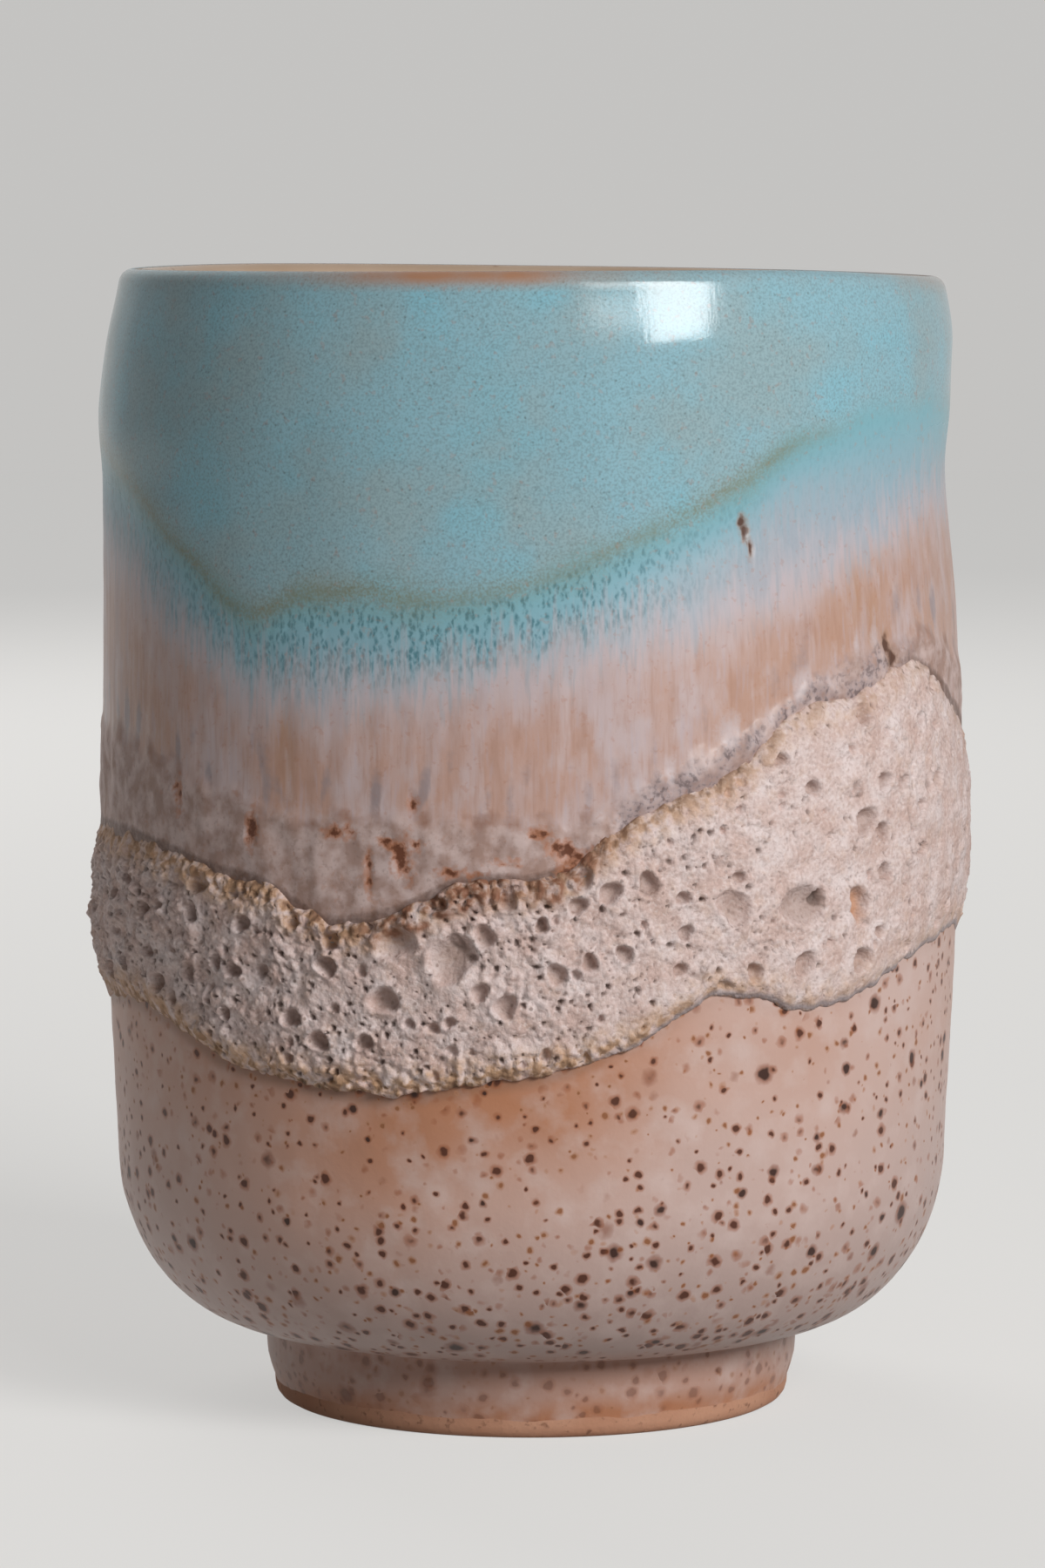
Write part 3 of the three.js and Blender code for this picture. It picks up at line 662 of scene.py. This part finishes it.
for pattern, low, high, most, colour, share in [
    ("crumbs", 0.52, 0.7, 0.45, "#BA9680", None),
    ("grit", 0.5, 0.7, 0.45, "#A0867D", None),
    ("grit", 0.46, 0.3, 0.45, "#E0D3D0", None),
    ("pricks", 0.24, 0.12, pricked, "#6B564C", None),
    # Painted shade: the craters darken with their depth.
    ("hollow", 0.08, 0.8, 0.58, "#937B70", None),
    ("rusty", 0.1, 0.8, 0.7, "#B9845F", None),
    # Painted shade: pin-holes and crevices go dark.
    ("pin_hole", 0.2, 1.0, 0.68, "#54433A", None),
    ("crumbs", 0.36, 0.56, 0.85, "#BE946B", edges[0]),
    ("crumbs", 0.48, 0.6, 0.85, "#664A38", edges[1]),
    ("scorched", 0.05, 0.5, singed, "#825640", None),
    ("pin_hole", 0.35, 1.0, 0.5, "#4A3A33", None),
    ("pooled", 0.2, 0.7, 0.8, "#968B8D", None),
]:
    tone = tint(pale_slip, tone, colour, drawn[pattern], low, high, most, share=share)
fire(crater_slip, pale_slip, {"Base Color": tone, "Roughness": 0.72}, (drawn["grit"], 0.8, 0.16))
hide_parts("crater_band")
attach(crater_slip, "root")


# The melted glaze: the rim was dipped in a thick blue-green glaze over a thin streaked one, and in
# the kiln the two ran into each other, so they are one skin from the band up to the lip. Its marks are
# given by turn, height, width and rise, and its blisters by how proud they stand.
GLAZE = 0.5
GLAZE_ROLL = 0.18
GLAZE_TUCK = 1.8
GLAZE_SUNK = 0.6
GLAZE_BACK = [92, 78]
LIP_GLAZE = 0.32
GLAZE_BOW = 68
LIP_BEHIND = 1.0
LIP_SUNK = 0.9
CRUST_RISE = 0.1
LUMP_RISE = 0.22
CLINKER_RISE = 0.5
DIMPLE_DEPTH = 0.06
RUST_DEPTH = 0.15
DRIP_DEPTH = 0.12
BLUE_EDGE = [
    (-90, 81.8), (-76, 80.9), (-64, 78.7), (-55, 75.3), (-46, 72.5), (-39, 70), (-30, 69.7),
    (-12, 70.8), (2, 73.1), (17, 75.6), (34, 79), (57, 84), (70, 86), (90, 85.4),
    (110, 81.8), (130, 77), (150, 74.5), (175, 78.1), (200, 80.6), (225, 78.1), (250, 79),
]
OLIVE_LINE = [
    (-90, 89), (-72, 87.4), (-58, 83.1), (-49, 79.3), (-38, 74.9), (-30, 76.7), (-17, 76.7),
    (-10, 76.4), (4, 79), (14, 82), (28, 86), (37, 90), (60, 93), (90, 91.5),
    (110, 88), (130, 83), (150, 80), (175, 84), (200, 86.5), (225, 84.5), (250, 86),
]
CRUST_TOP = [
    (-90, 63), (-66, 62), (-45, 59), (-30, 57.6), (-10, 57.6), (3, 56.8), (9, 57.8), (17, 61),
    (30, 66.1), (44, 70.2), (54, 72), (66, 72), (77, 70), (100, 66), (125, 62.5), (150, 64),
    (175, 66.5), (200, 63), (225, 61), (250, 62.5),
]
RUST_MARKS = [
    (-16.4, 54.2, 0.7, 1.5), (-20.9, 52.9, 0.4, 1.7), (4, 54.9, 1, 0.8), (5.9, 54, 1.1, 0.9),
    (4.6, 52.6, 0.8, 1.2), (-18.2, 55.5, 0.9, 0.3), (-14.8, 55.3, 0.7, 0.3), (-25.6, 56.1, 0.9, 0.45),
    (-23.6, 56.3, 0.7, 0.35), (0.5, 56.5, 1.2, 0.4), (-15, 58.7, 0.5, 0.7), (-52, 58, 0.6, 1.6),
    (-38, 56, 0.6, 1.4), (-9, 52.9, 2.2, 0.35), (-3, 53.9, 1.4, 0.35), (96, 64, 0.7, 1.5),
    (118, 61, 1.2, 0.5), (143, 62.5, 0.6, 1.3), (171, 64, 1.3, 0.5), (186, 62.5, 0.6, 1.4),
    (211, 59.5, 1, 0.6), (236, 59, 0.7, 1.3),
]
BROWN_DRIPS = [
    (28.3, 83.2, 0.42, 0.55), (28.8, 82.2, 0.45, 0.8), (29.6, 80.9, 0.28, 0.8), (53, 71.6, 0.6, 0.9),
    (54, 70.5, 0.8, 0.9), (158, 79.6, 0.42, 0.9), (158.7, 78.2, 0.28, 0.8),
]
TAN_STREAKS = [
    (47, 77.2, 0.9, 2.8), (50.3, 73.6, 0.9, 2.4), (-33, 63.5, 1, 3), (172, 71, 1, 3),
]
TAN_SHOWS = [
    (-90, 0.3), (-55, 0.5), (-35, 0.35), (-10, 0.15), (12, 0.25), (30, 0.6), (50, 0.8), (75, 0.5),
    (110, 0.3), (160, 0.6), (210, 0.2), (240, 0.5),
]
BLISTERS = [
    (24, 88.4, 0.65, 0.14), (24.7, 86.1, 0.5, 0.11), (128, 95, 0.6, 0.12), (232, 90, 0.6, 0.12),
]
OLIVE_SHOWS = [
    (-90, 0.6), (-60, 0.8), (-30, 0.9), (-12, 0.7), (4, 0.6), (20, 0.7), (32, 0.8), (38, 0.6), (46, 0.2),
    (65, 0.1), (90, 0.3), (120, 0.8), (160, 0.6), (200, 0.8), (240, 0.5),
]
DIMPLES_SHOW = [
    (-90, 0.5), (-50, 0.7), (-25, 1), (8, 1), (18, 0.6), (28, 0.25), (45, 0.15), (75, 0.15),
    (110, 0.7), (150, 1), (190, 0.6), (230, 0.9),
]
FADES = [
    (-90, 0.3), (-50, 0.15), (-25, 0), (8, 0), (20, 0.5), (32, 0.8), (42, 0.5), (55, 0.1), (75, 0.1),
    (110, 0.4), (150, 0), (190, 0.5), (230, 0.1),
]
BLUSH = [
    (-90, 0.2), (-45, 0.25), (-30, 0.5), (-20, 1), (-2, 1), (8, 0.4), (25, 0.1), (60, 0.2),
    (100, 0.8), (130, 0.3), (170, 0.6), (200, 0.2), (230, 0.7),
]
wall, lip, back = accumulate([128, 10, 6])
melted_glaze, turn, row = ring_sheet("melted_glaze", strips=880, rows=back, crowd=0.25)
band_high = smooth_curve(BAND_TOP, turn)
shoulder = lip_shoulder(turn)
start = band_high - GLAZE_TUCK
height = start + (shoulder - start) * np.clip(row / (wall - 1), 0, 1) ** 1.15
above_band = height - band_high
above_blue = height - smooth_curve(BLUE_EDGE, turn)
above_olive = height - smooth_curve(OLIVE_LINE, turn)
above_crust = height - smooth_curve(CRUST_TOP, turn) + rough(turn, height / 2, (1.3, 2.2, 46))
crust = 1 - ease(above_crust, -1.0, 1.0)
# On the right of the front the crust turned to a thicker, frosted ash.
right = ease(turn, 4, 12) * ease(turn, 66, 50)
drip_ends = bell(above_crust - 0.4, 1.1) * ease(rough(turn, height, (1, 1.9, 49)), -0.15, 0.35)
fingers = ease(rough(turn, height / 3, (1, 1.2, 54)), -0.35, 0.35)
frost = bell(above_crust - 0.5, 1.4) * (0.4 + 0.6 * right) * fingers
smoke = bell(above_crust - 2.6, 2.2) * ease(rough(turn, height / 4, (1, 1.3, 55)), 0.05, 0.5)
lumps = 0.5 + rough(turn, height, (1, 2.8, 42), (0.25, 1.2, 44))
clinker = np.abs(rough(turn, height, (1, 1.1, 56))) * crust * right * ease(above_band, -0.2, 0.6)
dimples = np.maximum(rough(turn, height / 2, (1, 0.55, 45)), 0)
dimpled = ease(above_olive, 0.8, -0.8) * ease(above_blue, -3.5, 0.5) * smooth_curve(DIMPLES_SHOW, turn)
thickness = GLAZE + GLAZE_ROLL * ease(above_olive, -4.5, 2.5)
thickness += rough(turn, height, (0.12, 9, 41), (0.035, 4, 48)) - DIMPLE_DEPTH * dimples * dimpled
thickness += rough(turn, height / 7, (0.05, 1.3, 43)) * (1 - ease(above_blue, -4, 1))
thickness += crust * (CRUST_RISE + LUMP_RISE * lumps) + CLINKER_RISE * clinker
stain, scorch = np.zeros((2, len(turn)))
ragged = rough(turn, height, (0.8, 1.7, 47), (0.4, 0.9, 50))
for places, mark, torn in [(RUST_MARKS, stain, ragged), (BROWN_DRIPS, scorch, 0.6 * ragged)]:
    for place in places:
        away = from_mark(turn, height, WALL_REACH, *place) + torn
        mark[:] = np.maximum(mark, np.clip(1 - away / 1.9, 0, 1))
thickness -= RUST_DEPTH * ease(stain, 0.3, 0.6) + DRIP_DEPTH * ease(scorch, 0.3, 0.6)
tan = smooth_curve(TAN_SHOWS, turn) * ease(above_blue, -0.8, -4.5)
for place in TAN_STREAKS:
    tan += 1.3 * bell(from_mark(turn, height, WALL_REACH, *place), 1)
for spot, level, wide, proud in BLISTERS:
    away = from_mark(turn, height, WALL_REACH, spot, level, wide, wide)
    thickness += proud * np.clip(1 - away**2, 0, 1)
olive_drift = above_olive + rough(turn, height, (0.8, 5, 51))
olive = smooth_curve(OLIVE_SHOWS, turn)
olive_core = olive * bell(olive_drift, 0.6) * ease(rough(turn, height, (1, 1.6, 53)), -0.9, 0.1)
radius = wall_radius(turn, height) + thickness * (1 - 0.5 * ease(height, 98, 104))
lip_radius, lip_height = over_lip(turn, GLAZE_BOW * rise(row, wall, lip), LIP_GLAZE)
behind = by_ring(row, lip, [shoulder + LIP_BEHIND, shoulder, *GLAZE_BACK, start, start])
height = np.select([row < wall, row < lip], [height, lip_height], behind)
sunk = wall_radius(turn, height) - np.where(row > lip, GLAZE_SUNK, LIP_SUNK)
radius = np.select([row < wall, row < lip], [radius, lip_radius], sunk)
close_rings(turn, row, radius)
lip_top = shoulder + LIP_THICKNESS / 2
marks = keep_marks(
    melted_glaze,
    above_blue=above_blue,
    above_olive=above_olive,
    crust=crust,
    stain=stain,
    scorch=scorch,
    drip_ends=drip_ends * (1 - 0.75 * right),
    frost=frost,
    smoke=smoke * (1 - 0.6 * right),
    # Dark line along the band's top edge: partly painted shade under the glaze's edge, partly brown stain.
    edge_line=(1 - ease(above_band, 0.2, 1.5)) * (1 - 0.5 * right),
    dimpled=dimpled,
    faded=smooth_curve(FADES, turn) * ease(above_olive, -1.5, -6.0),
    olive=olive * bell(olive_drift, 1.7),
    olive_core=olive_core,
    tan=tan,
    blush=smooth_curve(BLUSH, turn) * ease(lip_top - height, 1.9, 0.3),
    ash=crust * right * ease(rough(turn, height, (1, 2.4, 52)), -0.5, 0.3),
)
shape_rings(melted_glaze, turn, radius, height)


def wander(material, value, pattern, reach):
    """Shifts a value by up to reach either way, as a grain goes, so that an edge drawn by it frays."""
    swing = {"Value": pattern, "From Min": 0.3, "From Max": 0.7, "To Min": -reach, "To Max": reach}
    shift = add_node(material, "ShaderNodeMapRange", swing)
    return add_node(material, "ShaderNodeMath", {"Value": value, "Value_001": shift}, operation="ADD")


# A fluid copper and rutile glaze: glossy turquoise, finely peppered where it is thick, an olive line
# where it rolled, dark dimples under that, then hair streaks of lavender, salmon and tan where it ran
# thin, and a dull crust with rust and frost above the band. The pepper is drawn at 0.22 mm, coarser
# than it is, so that it shows.
grains = [("cloud", 10, 3), ("pepper", 0.22, 2), ("scum", 1.8, 4), ("pores", 0.5, 3), ("fray", 0.6, 2)]
blue_run, drawn = new_finish("turquoise_rutile_run_glaze", grains, marks)
elsewhere = {"Vector": drawn["place"], "Location": (0.3, 0.1, 0.2)}
moved = add_node(blue_run, "ShaderNodeMapping", elsewhere)
drawing = {"Vector": moved, "Scale": 1 / (7 * MM), "Detail": 2}
drawn["glow"] = add_node(blue_run, "ShaderNodeTexNoise", drawing)
for name, wide, tall, detail in [
    ("hair", 0.4, 4.2, 2),
    ("ribbon", 1.5, 8.0, 3),
    ("patch", 4.5, 9.0, 3),
    ("blotch", 1.9, 3.8, 4),
    ("dash", 0.32, 1.1, 1),
]:
    stretch = {"Vector": drawn["place"], "Scale": (1 / (wide * MM), 1 / (wide * MM), 1 / (tall * MM))}
    streaked = add_node(blue_run, "ShaderNodeMapping", stretch)
    drawing = {"Vector": streaked, "Scale": 1.0, "Detail": detail}
    drawn[name] = add_node(blue_run, "ShaderNodeTexNoise", drawing)
bent = jostled(blue_run, drawn["place"], 0.7, 2, 0.7)
for name, place, wide, tall in [("dots", drawn["place"], 0.8, 0.8), ("drops", bent, 0.4, 0.95)]:
    stretch = {"Vector": place, "Scale": (1 / (wide * MM), 1 / (wide * MM), 1 / (tall * MM))}
    cells = {"Vector": add_node(blue_run, "ShaderNodeMapping", stretch), "Scale": 1.0}
    drawn[name] = add_node(blue_run, "ShaderNodeTexVoronoi", cells, out="Distance")

blue = tint(blue_run, "#88B0BC", "#8FA9AF", drawn["cloud"], 0.42, 0.64)
for pattern, low, high, most, colour in [
    ("glow", 0.52, 0.72, 0.6, "#7CB9CA"),
    ("pepper", 0.42, 0.68, 0.5, "#6C8082"),
    ("dots", 0.18, 0.08, 0.35, "#414C42"),
]:
    blue = tint(blue_run, blue, colour, drawn[pattern], low, high, most)
thin_blue = tint(blue_run, "#98A9B5", "#78ABB7", drawn["above_olive"], -9.0, -1.0)
for pattern, low, high, begin, full, colour in [
    ("drops", 0.56, 0.2, -2.0, 1.0, "#44747E"),
    ("dash", 0.48, 0.64, 3.0, -0.5, "#4A7A84"),
]:
    zone = {"Value": drawn["above_blue"], "From Min": begin, "From Max": full, "To Max": 0.8}
    most = add_node(blue_run, "ShaderNodeMapRange", zone)
    thin_blue = tint(blue_run, thin_blue, colour, drawn[pattern], low, high, most, share=drawn["dimpled"])
thin_blue = tint(blue_run, thin_blue, "#A4A3AA", drawn["hair"], 0.35, 0.65, 0.9, 0.35, drawn["faded"])
rolled = wander(blue_run, drawn["above_olive"], drawn["glow"], 1.0)
blue = tint(blue_run, blue, thin_blue, rolled, 1.2, -1.0)
blue = tint(blue_run, blue, "#7D7A5C", drawn["pepper"], 0.3, 0.62, 0.68, 0.25, drawn["olive"])
blue = tint(blue_run, blue, "#746E45", drawn["olive_core"], 0.1, 0.8, 0.34)

thinning = {"Value": drawn["above_blue"], "From Min": -2.0, "From Max": -8.0}
thinned = add_node(blue_run, "ShaderNodeMapRange", thinning)
run = tint(blue_run, "#BDABAB", "#B8968A", drawn["patch"], 0.35, 0.55, share=thinned)
run = tint(blue_run, run, "#AF8973", drawn["patch"], 0.35, 0.6, 0.85, 0.4, drawn["tan"])
for pattern, low, high, most, colour in [
    ("ribbon", 0.55, 0.72, 0.4, "#C4B6B8"),
    ("blotch", 0.53, 0.7, 0.45, "#A67F6C"),
    ("blotch", 0.45, 0.3, 0.4, "#C3B3B4"),
    ("hair", 0.52, 0.74, 0.36, "#A37A66"),
    ("hair", 0.45, 0.28, 0.26, "#AFA8B4"),
    ("above_blue", -5.5, -0.5, 0.5, "#B5AFB4"),
]:
    run = tint(blue_run, run, colour, drawn[pattern], low, high, most)
melting = wander(blue_run, drawn["above_blue"], drawn["ribbon"], 1.3)
melting = wander(blue_run, melting, drawn["hair"], 2.2)
tone = tint(blue_run, run, blue, melting, -3.6, 2.6)

scum_tone = tint(blue_run, "#997D72", "#C2ADA8", drawn["scum"], 0.38, 0.62)
tone = tint(blue_run, tone, scum_tone, drawn["crust"], most=0.85)
pitted = add_node(blue_run, "ShaderNodeMapRange", {"Value": drawn["crust"], "From Min": 0.3, "To Max": 0.3})
tone = tint(blue_run, tone, "#72574B", drawn["pores"], 0.56, 0.7, pitted)
for low, high, most, colour in [(0.25, 0.6, 0.75, "#978B8F"), (0.51, 0.64, 0.75, "#655450")]:
    tone = tint(blue_run, tone, colour, drawn["pores"], low, high, most, share=drawn["ash"])
for mark, low, high, most, colour, fray in [
    ("smoke", 0.12, 0.8, 0.6, "#857D82", 0.14),
    ("drip_ends", 0.2, 1.0, 0.75, "#86604E", 0.14),
    ("frost", 0.2, 0.95, 0.55, "#C6BABC", 0.2),
    # Painted shade with some brown stain along the band's top edge.
    ("edge_line", 0.55, 1.05, 0.75, "#52392C", 0.14),
    ("stain", 0.15, 0.6, 0.7, "#AA683E", 0.26),
    ("stain", 0.5, 0.84, 0.93, "#55280F", 0.3),
    ("scorch", 0.1, 0.6, 0.6, "#A07C62", 0.14),
    ("scorch", 0.42, 0.7, 0.9, "#4A2A1B", 0.1),
]:
    torn = wander(blue_run, drawn[mark], drawn["fray"], fray)
    tone = tint(blue_run, tone, colour, torn, low, high, most)
tone = tint(blue_run, tone, "#A67A5E", drawn["glow"], 0.34, 0.6, 1.0, 0.6, drawn["blush"])
polish = {"Value": rolled, "From Min": -4.0, "From Max": 2.0, "To Min": 0.33, "To Max": 0.15}
polished = add_node(blue_run, "ShaderNodeMapRange", polish)
dulled = add_node(blue_run, "ShaderNodeMapRange", {"Value": drawn["crust"], "To Max": 0.2})
both = {"Value": polished, "Value_001": dulled}
gloss = add_node(blue_run, "ShaderNodeMath", both, operation="ADD")
fire(
    melted_glaze,
    blue_run,
    {"Base Color": tone, "Roughness": gloss, "Specular IOR Level": 0.35},
    (drawn["pepper"], 0.12, 0.05),
    (drawn["hair"], 0.15, 0.06),
)
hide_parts("turquoise_glaze", "streaked_glaze")
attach(melted_glaze, "root")


# The liner: a cream glaze poured in and swilled round, glossy, with a few iron specks and faint
# throwing rings, thickest in the bend of the floor.
LINER = 0.5
LINER_FLOOR = FLOOR_RADIUS - 1.0
LINER_RINGS = [0.0, 6.0, 11.0, 16.0, 20.0]
LINER_BACK = [70, BEND_TOP, 18]
LINER_BACK_RADII = [33.0, FLOOR_RADIUS, 10.0, 0.0]
LIP_LINER = 0.3
THROWING_RING = 0.09
THROWING_STEP = 5.2
floor, bend, wall, lip, back = accumulate([5, 15, 28, 8, 8])
liner_coat, turn, row = ring_sheet("liner_coat", strips=240, rows=back)
shoulder = lip_shoulder(turn)
lip_radius, lip_height = over_lip(turn, 180 - GLAZE_BOW * rise(row, wall, lip), LIP_LINER)
bend_bow = np.radians(90 * rise(row, floor, bend))
bend_width = inner_radius(turn, BEND_TOP) - LINER - LINER_FLOOR
behind = [shoulder + LIP_BEHIND, shoulder, *LINER_BACK] + [FLOOR_TOP - SUNK] * 3
height = np.select(
    [row < floor, row < bend, row < wall, row < lip, row < back],
    [
        FLOOR_TOP + LINER,
        BEND_TOP - (BEND_TOP - FLOOR_TOP - LINER) * np.cos(bend_bow),
        BEND_TOP + (shoulder - BEND_TOP) * rise(row, bend, wall),
        lip_height,
        by_ring(row, lip, behind),
    ],
)
clay = inner_radius(turn, height)
sunk = clay + np.where(row > lip, SUNK, LIP_SUNK)
rings = np.sin(height * 2 * math.pi / THROWING_STEP + np.radians(turn))
rings = THROWING_RING * rings * ease(height, 20, 30) * ease(height, 101, 92)
radius = np.where(row < lip, rings, 0) + np.select(
    [row < floor, row < bend, row < wall, row < lip, row < back],
    [
        by_ring(row, 0, LINER_RINGS),
        LINER_FLOOR + bend_width * np.sin(bend_bow),
        clay - LINER * (1 - 0.4 * ease(height, 96, 104)),
        lip_radius,
        by_ring(row, lip, [sunk] * 4 + LINER_BACK_RADII),
    ],
)
shape_rings(liner_coat, turn, radius, height)

# A glossy cream glaze, a little milky where it pooled, over clay whose iron comes through in fine specks
# and browns it at the lip.
liner_glaze, drawn = new_finish("cream_gloss_liner", [("milky", 11, 4), ("peel", 1.5, 2)])
cells = {"Vector": drawn["place"], "Scale": 1 / (3.4 * MM)}
fleck = add_node(liner_glaze, "ShaderNodeTexVoronoi", cells, out="Distance")
level = add_node(liner_glaze, "ShaderNodeSeparateXYZ", {"Vector": drawn["place"]}, out="Z")
tone = tint(liner_glaze, "#BFB19C", "#DACFBE", drawn["milky"], 0.35, 0.65)
tone = tint(liner_glaze, tone, "#6A4A36", fleck, 0.13, 0.05, 0.75)
tone = tint(liner_glaze, tone, "#9B7A60", level, 100 * MM, 104.6 * MM, 0.7)
fire(liner_coat, liner_glaze, {"Base Color": tone, "Roughness": 0.2}, (drawn["peel"], 0.15, 0.06))
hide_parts("liner_glaze")
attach(liner_coat, "root")


# The studio: a pale paper sweep that the cup stands on, an even pale room, and three soft lamps, a
# window in front at the right, a dimmer pane beside it and one behind. Its sizes are in metres.
SWEEP_SIZE = 4
SWEEP_BACK = (0, 0.6, 2)
CAMERA_PLACE = (-0.000806, -0.58067, 0.11108)
CAMERA_TILT = 5.316
bpy.ops.object.select_all(action="DESELECT")
bpy.ops.mesh.primitive_plane_add(size=SWEEP_SIZE)
paper_sweep = bpy.context.object
paper_sweep.name = paper_sweep.data.name = "paper_sweep"
bpy.ops.object.mode_set(mode="EDIT")
bpy.ops.mesh.select_mode(type="EDGE")
bpy.ops.mesh.select_all(action="DESELECT")
bpy.ops.object.mode_set(mode="OBJECT")
for edge in paper_sweep.data.edges:
    edge.select = all(paper_sweep.data.vertices[v].co.y > 0 for v in edge.vertices)
bpy.ops.object.mode_set(mode="EDIT")
bpy.ops.mesh.extrude_edges_move()
bpy.ops.transform.translate(value=SWEEP_BACK)
bpy.ops.object.mode_set(mode="OBJECT")
paper = bpy.data.materials.new("pale_paper")
room = bpy.data.worlds.new("pale_room")
bpy.context.scene.world = room
in_view = []
for backdrop in [paper, room]:
    backdrop.use_nodes = True
    backdrop.node_tree.nodes.clear()
    ray = add_node(backdrop, "ShaderNodeLightPath").node.outputs
    seen = ray["Is Camera Ray"]
    for also in ["Is Glossy Ray", "Is Transmission Ray"]:
        either = {"Value": seen, "Value_001": ray[also]}
        seen = add_node(backdrop, "ShaderNodeMath", either, operation="ADD")
    in_view.append(seen)

# Matt white paper, which keeps the cup's shadow and looks a little brighter than it is lit.
surface = add_node(
    paper,
    "ShaderNodeMixShader",
    {
        "Fac": add_node(paper, "ShaderNodeMapRange", {"Value": in_view[0], "To Max": 0.6}),
        "Shader": add_node(paper, "ShaderNodeBsdfDiffuse", {"Color": "#C4C2BF", "Roughness": 0.5}),
        "Shader_001": add_node(paper, "ShaderNodeEmission", {"Color": "#EFEEEC", "Strength": 1.0}),
    },
)
add_node(paper, "ShaderNodeOutputMaterial", {"Surface": surface})
paper_sweep.data.materials.append(paper)

glow = add_node(room, "ShaderNodeMapRange", {"Value": in_view[1], "To Min": 0.11, "To Max": 0.55})
air = add_node(room, "ShaderNodeBackground", {"Color": "#F2F2F2", "Strength": glow})
add_node(room, "ShaderNodeOutputWorld", {"Surface": air})

for name, place, tilt, turned, wide, tall, power, in_gloss in [
    ("window_light", (0.52, -0.62, 0.42), 66, 40, 0.32, 0.3, 6.2, True),
    ("side_pane", (0.28, -0.76, 0.45), 66, 20, 0.17, 0.2, 0.9, True),
    ("back_light", (-0.25, 0.72, 0.6), 54, 199, 0.6, 0.6, 6.0, False),
]:
    bpy.ops.object.light_add(type="AREA", location=place)
    lamp = bpy.context.object
    lamp.name = name
    lamp.data.shape = "RECTANGLE"
    lamp.data.size = wide
    lamp.data.size_y = tall
    lamp.data.energy = power
    lamp.visible_glossy = in_gloss
    lamp.rotation_euler = (math.radians(tilt), 0, math.radians(turned))

bpy.ops.object.camera_add(location=CAMERA_PLACE)
camera = bpy.context.object
camera.rotation_euler = (math.radians(90 - CAMERA_TILT), 0, 0)
camera.data.lens = 144
camera.data.sensor_width = 36
camera.data.clip_start = 0.05
bpy.context.scene.camera = camera
bpy.context.scene.view_settings.view_transform = "Standard"
